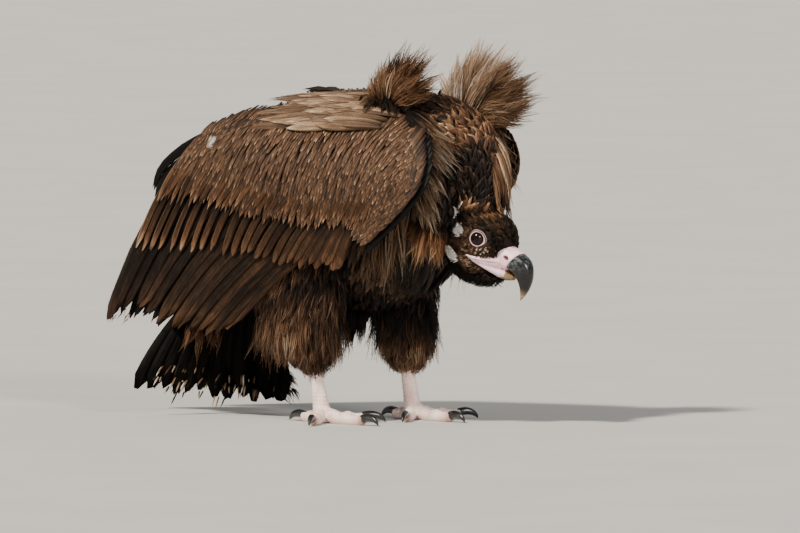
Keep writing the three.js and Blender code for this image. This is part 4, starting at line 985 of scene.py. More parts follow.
# sprays of longer plumes: each grows between two roots, towards ways and lengths that run between two more
sprays = {
    "shoulder_plumes": {"root": [[124, -70, 474], [154, -90, 440]],
                        "way": [[0.86, 0.1, -0.42], [0.66, 0.08, -0.7]], "length": [[74, 104], [52, 78]],
                        "count": 48, "half": 6, "each": 16, "shade": [0.24, 0.92], "rust": 0.0,
                        "bend": [-0.04, 0.12, -0.12], "curl": 0.05, "sides": (-1, 1)},
    "side_plumes": {"root": [[160, -96, 404], [164, -92, 352]],
                    "way": [[0.62, 0.05, -0.76], [0.0, 0.1, -1]], "length": [[44, 66], [48, 76]],
                    "count": 48, "half": 6, "each": 16, "shade": [0.24, 0.94], "rust": 0.0,
                    "bend": [0.0, 0.08, -0.1], "curl": 0.05, "sides": (-1, 1)},
    "ruff_base": {"root": [[66, -62, 488], [100, -66, 484]],
                  "way": [[-0.85, -0.15, -0.3], [0.5, -0.1, -0.45]], "length": [[20, 36], [26, 44]],
                  "count": 40, "half": 4.5, "each": 11, "shade": [0.12, 0.4], "rust": 0.2,
                  "bend": [0, -0.05, -0.15], "curl": 0.1, "sides": (-1, 1)},
    "breast_spray": {"root": [[130, -104, 356], [92, -100, 298]], "way": [[0.05, 0, -1], [-0.12, 0, -1]],
                     "length": [[84, 124], [50, 86]], "count": 60, "half": 6, "each": 13,
                     "shade": [0.14, 0.72], "rust": 0.1, "bend": [-0.05, 0.06, -0.1], "curl": 0.05,
                     "sides": (-1, 1)},
    "throat_fluff": {"root": [[158, -90, 308], [188, -74, 296]],
                     "way": [[-0.25, -0.3, -1], [0.1, -0.3, -1]], "length": [[30, 52], [28, 50]],
                     "count": 100, "half": 5.5, "each": 10, "shade": [0.3, 0.82], "rust": 0.9,
                     "bend": [0.0, 0.06, -0.1], "curl": 0.22, "sides": (-1, 1)},
    "belly_fringe": {"root": [[-18, -28, 172], [2, -4, 164]], "way": [[-0.2, 0, -1], [0, 0, -1]],
                     "length": [[58, 84], [6, 14]], "count": 60, "half": 5,
                     "each": 12, "shade": [0.02, 0.16], "rust": 0.4, "bend": [-0.05, 0, -0.1], "curl": 0.08,
                     "sides": (1,)},
    # the far flank's long plumes are near black: painted shade beside the left thigh
    "flank_plumes": {"root": [[14, 98, 250], [40, 98, 236]], "way": [[-0.04, 0.04, -1], [-0.06, 0.04, -1]],
                     "length": [[120, 160], [120, 160]], "count": 9, "half": 8, "each": 14,
                     "shade": [0.05, 0.12], "rust": 0.2, "bend": [-0.02, 0, -0.02], "curl": 0.04,
                     "sides": (1,)},
    "rump_down": {"root": [[-268, -66, 146], [-246, -32, 140]],
                  "way": [[-0.3, -0.1, -1], [-0.1, -0.05, -1]], "length": [[24, 44], [24, 40]], "count": 30,
                  "half": 5, "each": 12, "shade": [0.3, 0.62], "rust": 0.6, "bend": [-0.08, -0.05, -0.1],
                  "curl": 0.16, "sides": (1,)},
    "tail_fray": {"root": [[-222, 88, 66], [-226, 98, 34]], "way": [[0.6, 0.5, -0.5], [0.45, 0.4, -0.7]],
                  "length": [[24, 36], [16, 28]], "count": 16, "half": 3.5, "each": 9, "shade": [0.0, 0.03],
                  "rust": 0.2, "bend": [-0.1, 0, -0.1], "curl": 0.06, "sides": (1,)},
}
for number, (name, s) in enumerate(sprays.items()):
    groups = []
    for side in s["sides"]:
        draw = np.random.default_rng(500 + number)
        n = s["count"]
        share = draw.random((n, 1))
        mirror = np.array([1, 1 if len(s["sides"]) == 1 else -side, 1])
        root = (mix(*np.array(s["root"], float)[:, None], share) + draw.normal(0, 5, (n, 3))) * mirror
        way = (mix(*np.array(s["way"], float)[:, None], share) + draw.normal(0, 0.09, (n, 3))) * mirror
        bend = (s["bend"] + draw.normal(0, s["curl"], (n, 3))) * mirror
        path = sweep(root, way,
                     draw.uniform(*mix(*np.array(s["length"], float)[..., None], share[:, 0])), 8, bend)
        face = unit(np.array([0.25, -1, 0.25]) * mirror)
        tone = mix(*s["shade"], np.linspace(0, 1, 8)[None] ** 0.8) + draw.normal(0, 0.09, (n, 1))
        groups += tufts(path, turned(path, face + 0 * path, draw.uniform(-20, 20, n)),
                        s["half"] * draw.uniform(0.7, 1.2, n), s["each"], draw, 510 + 2 * number, "lance",
                        0, (0.35, 0.7), (0.6, 1.12), 0.8, shade=tone, rust=s["rust"], pale=0.3)
    coatPiece(name, groups, downFeather)
print("sprays: hung")

# head: short dark down laid back from the bill, thin round the eye, longer on the nape and chin
lips = {"low": [[-6, 0], [2, -1], [19, -4], [36, -6], [61, -8]],
        "high": [[-6, 4], [4, 9], [12, 13], [25, 20], [42, 30]],
        "cereBack": [[0, 22], [12, 25], [26, 31], [38, 35], [44, 44], [50, 60]], "lidCentre": [4, 0, 33],
        "lidRadius": 15.5}
f, w = inHead(skinPoints)[:, [0, 2]].T
bare = (w > along(lips["low"], f)[:, 0]) & (w < along(lips["high"], f)[:, 0]) & (f > -5)
bare |= (f > along(lips["cereBack"], w)[:, 0]) & (w > 2)
bare |= np.hypot((f - lips["lidCentre"][0]) / 1.1, w - lips["lidCentre"][2]) < lips["lidRadius"]
downy = isHead & ~bare
draw = np.random.default_rng(41)
root, p = sow("head_down", downy, draw)
here, high = inHead(p)[:, [0, 2]].T
eyeAway = np.hypot(here - 3, high - 33)
crown = ease(20, 60, high) * (1 - ease(10, 40, here))
aboveLip = high - along(lips["high"], here)[:, 0]
wart = np.exp(-(((aboveLip - 4) / 7) ** 2)) * ease(-3, 7, here) * (1 - ease(34, 44, here))
size = 8.5 + 7 * crown + 4 * (1 - ease(-30, -12, high)) + 3 * (1 - ease(-50, -20, here))
size = size * mix(0.5, 1, ease(14, 30, eyeAway)) * (1 - 0.5 * wart)
outwards = vec(0 * size, 0, -0.3 * (1 - ease(-25, -5, high)))
brow = 0.05 * crown + wart * np.where(draw.random(len(wart)) < 0.42, 0.55, 0.1)
layCoat("head_down", root, p, draw, size, downFeather, "head_down", flow=-headAhead + outwards, lighter=brow)
draw = np.random.default_rng(42)
root, p = sow("chin_bristles", downy & (w < -16), draw)
layCoat("chin_bristles", root, p, draw, None, downFeather, "head_down",
        lighter=np.minimum(0, 0.08 - markings(p, "head")[0]),
        flow=-headAhead * 0.3 + 0 * p + np.array([0, 0, -0.8]))
draw = np.random.default_rng(43)
root, p = sow("lore_bristles", (np.abs(f - 20) < 9) & (w > 14) & (w < 46) & downy, draw)
layCoat("lore_bristles", root, p, draw, None, downFeather, "head_down",
        flow=headAhead * 0.2 + 0 * p + np.array([0, 0, -0.5]))
# the white patches' down is fluffed, and faces outwards and up
white = {"count": 900, "nudge": 1.5, "length": (5, 9), "half": 0.75, "swing": 0.4, "shade": 1.2,
         "rise": [[0, 1], [0.4, 4], [1, 6.5]]}
draw = np.random.default_rng(44)
root, p = scatter(isHead & (skinShade > 0.9), white["count"], draw, white["nudge"])
flow = -headAhead + draw.normal(0, white["swing"], p.shape)
path, face = comb(p, flow, draw.uniform(*white["length"], len(p)), 4, white["rise"], 0, 0.5)
face = face + np.array([-0.1, -0.9, 0.9]) * np.sign(-p[:, None, 1:2])
tone = draw.normal(white["shade"], 0.08, len(p))
groups = tufts(path, face, white["half"], 0, draw, 440, "lance", 3, rust=0.1, pale=0.3, shade=tone)
coatPiece("white_down", groups, downFeather)
print("head: downed")

# the raised ruff: two fans of long hair-like feathers; lean is each fan's first and last angle, reach the
# length of its locks by share of the way between them, crowd below 1 puts more of them late
ruffs = {
    "right": {"side": -1, "root": [84, 57, 486], "spread": [20, 10, 7], "lean": [14, 104],
              "locks": 120, "each": 24, "seed": 51, "curl": [0.12, -0.06], "crowd": 1.0,
              "reach": [[0, 60], [0.09, 80], [0.34, 120], [0.43, 98], [0.53, 108], [0.68, 84],
                        [0.84, 60], [1, 46]]},
    "left": {"side": 1, "root": [154, 57, 466], "spread": [30, 15, 14], "lean": [-9, 112],
             "locks": 300, "each": 23, "seed": 52, "curl": [0.2, -0.04], "crowd": 0.8,
             "reach": [[0, 60], [0.07, 78], [0.18, 90], [0.256, 108], [0.385, 106], [0.49, 110],
                       [0.61, 115], [0.72, 116], [0.85, 98], [1, 70]]},
}


def ruffTuft(word, s):
    # locks stand at angles across the fan, in layers from front to back, and bend out towards their tips
    draw = np.random.default_rng(s["seed"])
    n = s["locks"]
    share = draw.random(n) ** s["crowd"]
    layer = draw.uniform(-1, 1, n)
    angle = np.radians(mix(s["lean"][0], s["lean"][1], share) + draw.normal(0, 5, n))
    base = np.array(s["root"]) * [1, s["side"], 1]
    base = base + vec((0.5 - share) * 1.7, layer, draw.uniform(-1, 1, n)) * s["spread"]
    reach = along(s["reach"], share)[:, 0] * (1 - 0.2 * layer**2) * draw.uniform(0.62, 1.0, n) ** 0.7
    run = unit(vec(np.cos(angle), s["side"] * 0.08 + 0.42 * layer, np.sin(angle)))
    bend = vec(s["curl"][0] * np.sin(angle), draw.normal(0, 0.05, n), s["curl"][1] * np.cos(angle) - 0.03)
    path = sweep(base, run - 0.5 * bend, reach, 8, bend + draw.normal(0, 0.03, (n, 3)))
    face = unit(vec(0.15 * np.sin(40 * share), s["side"], 0.1))[:, None] + 0 * path
    u = np.linspace(0, 1, 8)[None]
    many, streak = share[:, None], draw.normal(0, 0.1, (n, 1))
    if s["side"] > 0:
        dark = np.exp(-(((many - 0.36 - 0.12 * (1 - u)) / 0.06) ** 2)) * ease(0.35, 0.65, u)
        fade = mix(0.16, 0.04, ease(0.3, 0.6, many)) * ease(0.6, 1, u)
        tone = mix(0.74, 0.94, ease(0.4, 0.75, many)) - 0.36 * dark - fade + streak
        rust = 0.3
    else:
        tone = mix(0.74, 0.6, u) - 0.5 * (draw.random((n, 1)) < 0.45) * ease(0.5, 0.9, u) + streak
        rust = 0.6
    groups = tufts(path, turned(path, face, draw.uniform(-25, 25, n)), draw.uniform(5, 9, n),
                   s["each"], draw, s["seed"] + 1, "lance", 0, (0.3, 0.6), (0.55, 1.06), 1.0, shade=tone,
                   rust=rust, pale=0.1)
    coatPiece("ruff_tuft_" + word, groups, downFeather)


for word, s in ruffs.items():
    ruffTuft(word, s)
print("ruff: raised")


# scapulars: long smooth pale feathers from the shoulders back over both wings' upper edges
scapular = {
    "rows": [[-46, 96, 0.58], [-12, 100, 0.64], [20, 104, 0.7], [50, 104, 0.72], [78, 96, 0.7],
             [98, 84, 0.66]],
    "perRow": 15, "striped": 22, "wingBulge": 141, "wingTop": 478,  # the wing that the sheet is drawn for
    "sheet": [[0, 0, 491], [0.25, 32, 487], [0.5, 60, 477], [0.75, 85, 460], [1, 103, 442]],
    "slipped": [[-52.0, 14, 484], [-40, 6, 486], [-66, 24, 482]],
}


def overBack(x, c, lift, side):
    # a sheet over the back: c runs from the midline 0 to the lower edge on the wing 1
    row = along(scapular["sheet"], c)
    share = along(body["bulge"], x)[..., 0] / scapular["wingBulge"]
    drop = scapular["wingTop"] - along(body["arm"], x)[..., 1]
    p = vec(x, side * row[..., 0] * share, row[..., 1] - drop + (16 * c if side > 0 else 0))
    n = unit(vec(-0.1 + 0 * c, side * mix(0.1, 0.95, c), mix(1, 0.45, c)))
    return p + n * np.asarray(lift)[..., None], n


def scapulars(side, seed):
    # rows from the rearmost forward, each over the last: where it starts, how long it is and its tone
    draw = np.random.default_rng(seed)
    groups = []
    n = scapular["perRow"]
    for row, (start, length, tone) in enumerate(scapular["rows"]):
        c = (np.arange(n) + draw.uniform(0.1, 0.9, n)) / n * 0.93
        u = np.linspace(0, 1, 10)[None]
        x = start + draw.uniform(-20, 20, n)[:, None] - length * draw.uniform(0.8, 1.15, n)[:, None] * u
        spread = (c + draw.normal(0, 0.02, n))[:, None] + 0.05 * u * (c[:, None] - 0.3)
        path, face = overBack(x, spread, mix(0.5 + row * 0.6, 4 + row * 0.6, u) + 0 * x, side)
        groups += tufts(path, turned(path, face, draw.uniform(2, 8, n) * -side), draw.uniform(6, 8, n),
                        9, draw, seed + 2 * row, "leaf", 5, (0.3, 0.5), (0.7, 1.12), 0.2,
                        shade=tone + draw.normal(0, 0.05, n), rust=0.05, pale=draw.uniform(0.2, 0.7, n))
    n = scapular["striped"]  # the long narrow ones behind, lying down the wing
    share = (np.arange(n) + 0.5) / n
    root = vec(mix(-40, -196, share), mix(474, 460, share)) + draw.uniform(-5, 5, (n, 2))
    tip = root + vec(mix(-96, -72, share), mix(-26, -66, share))
    path, face = wingFeather(root, tip, (1 + 0 * share, 3.5 + 0 * share), side, 10, 4)
    groups += tufts(path, turned(path, face, -8 * side), 5.4, 8, draw, seed + 20, "leaf",
                    7, (0.3, 0.5), (0.8, 1.08), 0.2, shade=draw.uniform(0.2, 0.34, n), rust=0.35,
                    pale=draw.uniform(0.9, 1.5, n))
    if side < 0:  # a few dark ones have slipped and stick up over the back
        root = np.array(scapular["slipped"])
        path = sweep(root, np.array([[-1, 0.1, 0.06]]), np.array([84.0, 60, 70]), 10, [0, 0, 0.06])
        path[..., 2] += 8 * np.sin(np.pi * u)
        groups += tufts(path, np.array([0.1, -0.7, 0.7]), 4.5, 8, draw, seed + 22, "lance", 5, (0.3, 0.5),
                        (0.8, 1.05), 0.2, shade=np.linspace(0.4, 0.02, 10)[None] + 0 * path[..., 0],
                        rust=0.3, pale=0.2)
    coatPiece("scapulars_" + ("right" if side < 0 else "left"), groups, softFeather)


scapulars(-1, 61)
scapulars(1, 62)
print("scapulars: laid")

# tail: stiff dark feathers, worn and frayed at their ends; share 0 is at the bird's right, where the fan
# reaches furthest back
tail = {"count": 12, "root": [-190, 26, 260], "tipBack": [-346, -232], "tipWide": 106, "tipHigh": [40, 14],
        "half": 19, "frayed": 130}
draw = np.random.default_rng(71)
n = tail["count"]
across = np.linspace(-1, 1, n)
share = across * 0.5 + 0.5
root = vec(tail["root"][0], across * tail["root"][1], tail["root"][2] + 0 * share)
tip = vec(mix(*tail["tipBack"], share) + draw.uniform(-4, 4, n), across * tail["tipWide"],
          mix(*tail["tipHigh"], share) + draw.uniform(-2, 8, n))
u = np.linspace(0, 1, 14)[None, :, None]
path = mix(root[:, None], tip[:, None], u)
path[..., 0] -= (18 * np.sin(np.pi * u) * mix(1.5, 0.2, share)[:, None, None])[..., 0]
path[..., 1] *= 1 - (0.28 * (1 - u) * np.sin(np.pi * u))[..., 0]
face = unit(vec(-0.85, 0.4 - 0.12 * across, 0.38))[:, None] + 0 * path
path = path + face * (4 * (1 - np.abs(across)))[:, None, None]
groups = tufts(path, turned(path, face, 6 * np.sign(across)), tail["half"], 14, draw, 72, "quill", 9,
               (0.3, 0.6), (0.84, 1.02), 0.06, shade=0.0, rust=0.25, pale=0.12)
n = tail["frayed"]  # pale worn barb ends
which, at = draw.integers(1, 11, n), draw.uniform(0.84, 0.97, n)
root = path[which, np.rint(at * 13).astype(int)] + draw.uniform(-1, 1, (n, 3)) * [9, 9, 2]
way = unit(tip - path[:, 0])[which] + draw.normal(0, 0.14, (n, 3))
ends = sweep(root, way, draw.uniform(8, 20, n), 5, [0, 0, -0.1])
groups.append(plumes(ends, face[which, :5], widths("hair", 5, 1.5), rootOf(ends[:, 0]), 2, 0.5, 0, 0, 74,
                     shade=draw.uniform(0.1, 1.2, n), rust=0.0, pale=0.2))
coatPiece("tail_feathers", groups, stiffFeather)
print("tail: fanned")


# bill: soft cere and lip, black horn, lower bill; stations as for the skull, along the bill from the gape
bill = {
    "upper": [[12, 0, 21, 0, 23, 19], [38, 0, 23, 0, 19.5, 17.5], [57, 0, 25, -6, 17, 16.5],
              [71, 0, 23, -30, 14.5, 16], [82, 0, 12, -56, 11, 13], [88.5, 0, -1, -76, 7, 8],
              [91, 0, -12, -86, 3.6, 4], [91.5, 0, -21, -94, 0.8, 0.8]],
    "lower": [[-10, 0, -4, 0, 20, 6], [16, 0, -2.5, 3, 19.5, 6.5], [40, 0, -1.5, 5, 15, 8.5],
              [56, 0, 0, 4, 10.5, 7.5], [66, 0, 1.5, 0, 5, 3.5]],
    "lip": [[-4, 0, 2, 0, 42, 4], [10, 0, 3.8, 2, 41, 9], [25, 0, 8.5, 6, 33, 13], [42, 0, 16, 8, 20, 13]],
    "lowerLip": [[-1, 0, 1, 0, 41, 3.5], [10, 0, 0, 0, 38, 5.5], [25, 0, -1, 2, 30, 7],
                 [42, 0, -1, 4, 20, 8], [54, 0, 0, 4, 12, 6.5]],
    "cereFront": [56, 0, 25, -15, 17.5, 17], "hornBack": [52, 0, 25, -13, 16.7, 16.2],
    "nostril": [48, 27], "nostrilSize": [4.9, 3.3], "proud": 0.9, "voxel": 0.9,
}
# how far red, green and blue light spread in thin skin, in metres
thinSkin = {"Subsurface Radius": [0.002, 0.0008, 0.0006], "Subsurface Scale": 1.0}


def hornShape(a):  # a section with a rounded ridge above and fuller sides below
    across, rise = np.sin(a), np.cos(a)
    return np.sign(across) * np.abs(across) ** 0.85, np.where(rise > 0, rise, -np.abs(rise) ** 0.7)


cereTube = limb(bill["upper"][:2] + [bill["cereFront"]], 30, 64, bill["proud"], hornShape)
cere = together([tube(cereTube), tube(limb(bill["lip"], 24, 56)), tube(limb(bill["lowerLip"], 24, 56))])
cerePoints, cereNormals, cereFaces = fuseBodies(cere, bill["voxel"], 3)
f, out, w = cerePoints.T
hole = np.hypot((f - bill["nostril"][0]) / bill["nostrilSize"][0],
                (w - bill["nostril"][1]) / bill["nostrilSize"][1])
rimHole = np.exp(-(((hole - 1.35) / 0.35) ** 2))
fold = np.sin(f * 1.9 + 0.35 * w + 1.4 * np.sin(w * 0.32)) * (1 - ease(16, 34, f)) * ease(8, 22, w)
crease = np.exp(-(((w - (1.2 + 0.16 * f + 0.0035 * f**2)) / 1.3) ** 2))
crease = crease * ease(-4, 4, f) * (1 - ease(34, 46, f))
sideways = ease(0.4, 0.75, np.abs(cereNormals[:, 1]))
# wrinkled at the gape, swollen round the nostril, sunk in it and in the crease between the lips
lift = 0.35 * fold + 0.5 * rimHole * sideways - 3.4 * (1 - ease(0.6, 1.15, hole)) * sideways
lift -= 0.9 * crease * sideways
lift += 0.5 * np.exp(-(((f - 54 - 0.26 * (w - 25)) / 2.6) ** 2))
finishCere, node = newFinish("waxy cere skin")
# bare waxy skin: lilac pink, mottled over 8 mm, finely pored every millimetre, damp looking
here = node("TexCoord", out=3)
mottle = node("TexNoise", {"Vector": here, "Scale": 120.0, "Detail": 3.0})
pores = node("TexVoronoi", {"Vector": here, "Scale": 900.0})
skinTone = node("ValToRGB", (mottle,), stops=[[0.3, "#e9b6c0"], [0.5, "#f4d0d8"], [0.7, "#f3dfea"]])
# painted shade: the deep mark colours the sunk nostril and the lips' crease dark reddish brown
tone = node("MixRGB", (node("Attribute", out=2, attribute_name="deep"), skinTone, colour("#5d2a22")))
endFinish(node, tone, 0.42, pores, 0.25, 0.0003, {"Subsurface Weight": 0.15, **thinSkin})
# painted shade in the nostril and along the crease between the lips
dark = (1 - ease(0.7, 1.15, hole)) * sideways + 0.6 * crease * sideways
makePiece("cere", placeHead(cerePoints + cereNormals * lift[:, None]), [cereFaces], finishCere,
          ("cere",), None, {"deep": dark})

horn = limb([bill["hornBack"]] + bill["upper"][2:], 60, 64, 0, hornShape)
finishHorn, node = newFinish("polished bill horn")
# keratin: black, glossy, mottled in patches 4 mm wide, pale grey over the base half as worn keratin and
# painted sheen, brown and thin at the hook; the lower bill's base is pink skin
here = node("TexCoord", out=3)
grain = node("TexNoise", {"Vector": here, "Scale": 350.0, "Detail": 6.0})
scuff = node("TexNoise", {"Vector": here, "Scale": 240.0, "Detail": 6.0})
black = node("ValToRGB", (scuff,), stops=[[0.35, "#020203"], [0.54, "#060607"], [0.72, "#141517"]])
# the base half's pale grey: partly worn keratin, partly painted sheen
chalkyAndSheen = node("ValToRGB", (scuff,), stops=[[0.36, "#0a0b0d"], [0.5, "#2a2e33"], [0.62, "#686e74"]])
black = node("MixRGB", (node("Attribute", out=2, attribute_name="scuffed"), black, chalkyAndSheen))
amber = node("ValToRGB", (grain,), stops=[[0.3, "#5a4228"], [0.7, "#c2a072"]])
fleshy = node("ValToRGB", (grain,), stops=[[0.3, "#c9959b"], [0.7, "#e6c2c8"]])
tone = node("MixRGB", (node("Attribute", out=2, attribute_name="tip"), black, amber))
tone = node("MixRGB", (node("Attribute", out=2, attribute_name="base"), tone, fleshy))
rough = node("MapRange", (scuff, 0.3, 0.75, 0.2, 0.45))
endFinish(node, tone, rough, grain, 0.1, 0.0004,
          {"Specular IOR Level": 0.05, "Coat Weight": 1.0, "Coat Roughness": 0.27})
tipward = np.linspace(0, 1, 60)[:, None] + np.zeros(horn.shape[:2])
under = ease(0.72, 0.94, -np.cos(np.linspace(0, 2 * np.pi, 64, endpoint=False)))[None]
under = under * ease(0.2, 0.4, tipward)
# painted sheen with wear: the base half is mottled pale grey
makePiece("bill_horn", placeHead(horn.reshape(-1, 3)), tube(horn)[1], finishHorn,
          ("bill_upper",), None, {"tip": np.maximum(ease(0.66, 0.92, tipward), 0.8 * under),
                                  "base": 0 * tipward, "scuffed": 1 - ease(0.05, 0.5, tipward)})
lower = limb(bill["lower"], 40, 48, 0, hornShape)
makePiece("bill_lower_horn", placeHead(lower.reshape(-1, 3)), tube(lower)[1], finishHorn,
          ("bill_lower",), None, {"tip": 0.55 + 0 * lower[..., 0], "base": 1 - ease(42, 52, lower[..., 0]),
                                  "scuffed": 0 * lower[..., 0]})
print("bill: shaped")

# eyes: brown iris under a clear bulge, in a double rim of pink lid
eye = {
    "centre": [-1.2, 33.5, 33], "radius": 12, "look": [0.38, 1, 0.02], "opening": 10.2, "bulge": 0.5,
    # the lid by share of the way out: radius and height
    "lid": [[0, 9.9, 6.8], [0.08, 10.2, 7.5], [0.2, 10.8, 8.0], [0.32, 11.5, 7.9], [0.4, 12.1, 7.1],
            [0.5, 12.8, 7.1], [0.58, 13.3, 7.2], [0.66, 13.8, 6.8], [0.8, 14.6, 5.0], [1, 15.6, 1.0]],
}
finishEye, node = newFinish("wet eye")
# a clear wet surface over a dark brown iris with fibres about 1 mm apart
off = node("Attribute", out=2, attribute_name="off")
fibre = node("TexNoise", {"Vector": node("TexCoord", out=3), "Scale": 900.0, "Detail": 4.0})
irisTone = node("ValToRGB", (fibre,), stops=[[0.3, "#100805"], [0.7, "#28150c"]])
ringed = node("ValToRGB", (off,), stops=[[0.0, "#000000"], [0.44, "#000000"], [0.5, "#ffffff"],
                                         [0.8, "#ffffff"], [0.95, "#000000"]])
tone = node("MixRGB", (ringed, colour("#030202"), irisTone))
shader = node("BsdfPrincipled", {"Base Color": tone, "Roughness": 0.12, "Specular IOR Level": 0.28})
node("OutputMaterial", {"Surface": shader})
finishLid, node = newFinish("bare eyelid skin")
# thin pink skin, wrinkled every millimetre, with a dark groove between the lid's rim and the ring round it
wrinkle = node("TexNoise", {"Vector": node("TexCoord", out=3), "Scale": 800.0, "Detail": 3.0})
bands = node("MixRGB",
             (node("Attribute", out=2, attribute_name="ring"), colour("#1a1210"), colour("#f0c8cd")))
shaded = node("ValToRGB", (wrinkle,), stops=[[0.3, "#b8acac"], [0.7, "#ffffff"]])
tone = node("MixRGB", (0.5, bands, shaded), blend_type="MULTIPLY")
endFinish(node, tone, 0.45, wrinkle, 0.4, 0.0004, {"Subsurface Weight": 0.1, **thinSkin})


def turnAway(a, b):  # how far one turn is from another, the short way round
    return np.angle(np.exp(1j * (a - b)))


for side, word in ((-1, "right"), (1, "left")):
    look = unit(np.array(eye["look"]) * [1, side, 1])
    other = unit(np.cross(look, [0, 0, 1])) * -side
    third = np.array([0.0, 0, 1]) + 0 * look
    third = unit(third - look * dot(third, look))
    centre = np.array(eye["centre"]) * [1, side, 1]
    a = np.linspace(0.01, np.pi - 0.01, 40)[:, None]
    b = np.linspace(0, 2 * np.pi, 56, endpoint=False)[None]
    bulge = eye["radius"] + eye["bulge"] * np.exp(-((a / 0.42) ** 2))
    ball = (look * (bulge * np.cos(a))[..., None] + other * (bulge * np.sin(a) * np.cos(b))[..., None]
            + third * (bulge * np.sin(a) * np.sin(b))[..., None]) + centre
    offAxis = eye["radius"] * np.sin(np.minimum(a, np.pi / 2)) / eye["opening"] + 0 * b
    makePiece("eye_ball_" + word, placeHead(ball.reshape(-1, 3)), tube(ball)[1], finishEye,
              ("eye_" + word,), None, {"off": offAxis})
    s = np.linspace(0, 1, 32)[None]
    row = along(eye["lid"], s)
    # drawn out at either corner
    point = 1 + 0.14 * np.exp(-((turnAway(b.T, 3.0) / 0.55) ** 2)) * ease(0, 0.3, s)
    point += 0.05 * np.exp(-((turnAway(b.T, 0.9) / 0.35) ** 2)) * ease(0, 0.3, s)
    radius = row[..., 0] * point
    high = np.concatenate([row[..., 1] + 0 * radius, 0.5 + 0 * radius[:, 1:-1]], axis=1)
    radius = np.concatenate([radius, radius[:, ::-1][:, 1:-1]], axis=1)
    band = centre + other * (0.97 * radius * np.cos(b.T))[..., None]
    band = band + third * (radius * np.sin(b.T))[..., None] + look * high[..., None]
    outer = np.exp(-((turnAway(b.T, 1.75) / 1.3) ** 4))  # the second ring runs over the top and front
    single = ease(0.1, 0.15, s) * ease(0.4, 0.34, s) * (1 - outer)
    double = (ease(0.1, 0.15, s) * ease(0.32, 0.26, s)
              + 0.8 * ease(0.49, 0.54, s) * ease(0.66, 0.6, s)) * outer
    flesh = np.concatenate([single + double, 0 * radius[:, 32:]], axis=1)
    quads = gridFaces(*band.shape[:2])
    n = band.shape[1]
    # the faces from the last line back to the first
    closing = np.stack([quads[-n:, 3], quads[-n:, 2], quads[:n, 1], quads[:n, 0]], -1)
    makePiece("eyelid_" + word, placeHead(band.reshape(-1, 3)), outward(band, [quads, closing]), finishLid,
              (), None, {"ring": flesh})
print("eyes: set")

# legs: bare pink shanks and toes with scutes across their tops, and grooved black claws. A toe is its heading
# in degrees, its length and its claw's; stations of toe and claw run along it by share of that length
legs = {
    "right": {"shank": [[-46, -76, 112, -90, 8.5, 10.5],
                        [-42, -75.5, 74, -90, 9.5, 11], [-36, -75, 48, -90, 10, 12],
                        [-32, -75, 30, -90, 11.5, 13], [-30, -75, 14, -90, 13, 14]], "ankle": [-30, -75],
              "toes": {"middle": [12, 92, 40], "outer": [66, 72, 34], "inner": [-40, 64, 40],
                       "hind": [196, 44, 42]}},
    "left": {"shank": [[18, 75, 112, -90, 8.5, 10.5], [22, 75, 74, -90, 9.5, 11], [26, 75, 48, -90, 10, 12],
                       [29, 75, 30, -90, 11.5, 13], [31, 75, 14, -90, 13, 14]], "ankle": [31, 75],
             "toes": {"middle": [16, 92, 40], "inner": [64, 64, 40], "outer": [-42, 72, 34],
                      "hind": [198, 44, 42]}},
    "toe": [[-4, 18, 9.5, 11], [0.32, 9.4, 9.5, 10.6], [0.47, 7.6, 7.9, 8.4], [0.62, 8.2, 9.5, 9.8],
            [0.78, 6.8, 7.5, 7.8], [1, 8, 6.9, 7.6]],
    "claw": [[-3, 10, 6.2, 12], [0.22, 12, 6.0, -4], [0.52, 10.2, 4.8, -28], [0.72, 5.4, 2.8, -54],
             [0.79, 0.9, 0.5, -66]],
    "toeHalf": 11, "scuteLength": 5.6, "scuteDeep": 0.75, "ringDeep": 0.9, "frontDeep": 0.35, "voxel": 1.5,
}
finishLeg, node = newFinish("scaled leg skin")
# small raised scales about 3 mm across, pale pink, darker and stained brown in the creases between them
here = node("TexCoord", out=3)
cells = node("TexVoronoi", {"Vector": here, "Scale": 340.0}, feature="DISTANCE_TO_EDGE")
patches = node("TexNoise", {"Vector": here, "Scale": 50.0, "Detail": 4.0})
flesh = node("ValToRGB", (patches,), stops=[[0.3, "#efcbc0"], [0.5, "#fbe6df"], [0.7, "#fff5f0"]])
tone = node("MixRGB", (node("MapRange", (cells, 0.0, 0.12, 0.55, 0.0)), flesh, colour("#ac7b6e")))
tone = node("MixRGB", (node("Attribute", out=2, attribute_name="stain"), tone, colour("#8d5a34")))
scale = node("MapRange", (cells, 0.0, 0.2))
endFinish(node, tone, 0.5, scale, 0.6, 0.0005,
          {"Subsurface Weight": 0.08, "Subsurface Radius": [0.003, 0.001, 0.0008], "Subsurface Scale": 1.0})
finishClaw, node = newFinish("grooved claw horn")
# black keratin, half glossy, with growth flakes 4 mm apart
flakes = node("TexNoise", {"Vector": node("TexCoord", out=3), "Scale": 250.0, "Detail": 5.0})
tone = node("ValToRGB", (flakes,), stops=[[0.3, "#0b0c0e"], [0.6, "#1e2023"], [0.8, "#4a4a48"]])
endFinish(node, tone, 0.28, flakes, 0.25, 0.0004, {"Coat Weight": 0.3, "Coat Roughness": 0.15})


def setToe(p, ankle, turn):  # from along and across the toe to the bird's millimetres
    c, s = math.cos(math.radians(turn)), math.sin(math.radians(turn))
    return vec(ankle[0] + p[..., 0] * c + p[..., 1] * s, ankle[1] - p[..., 0] * s + p[..., 1] * c, p[..., 2])


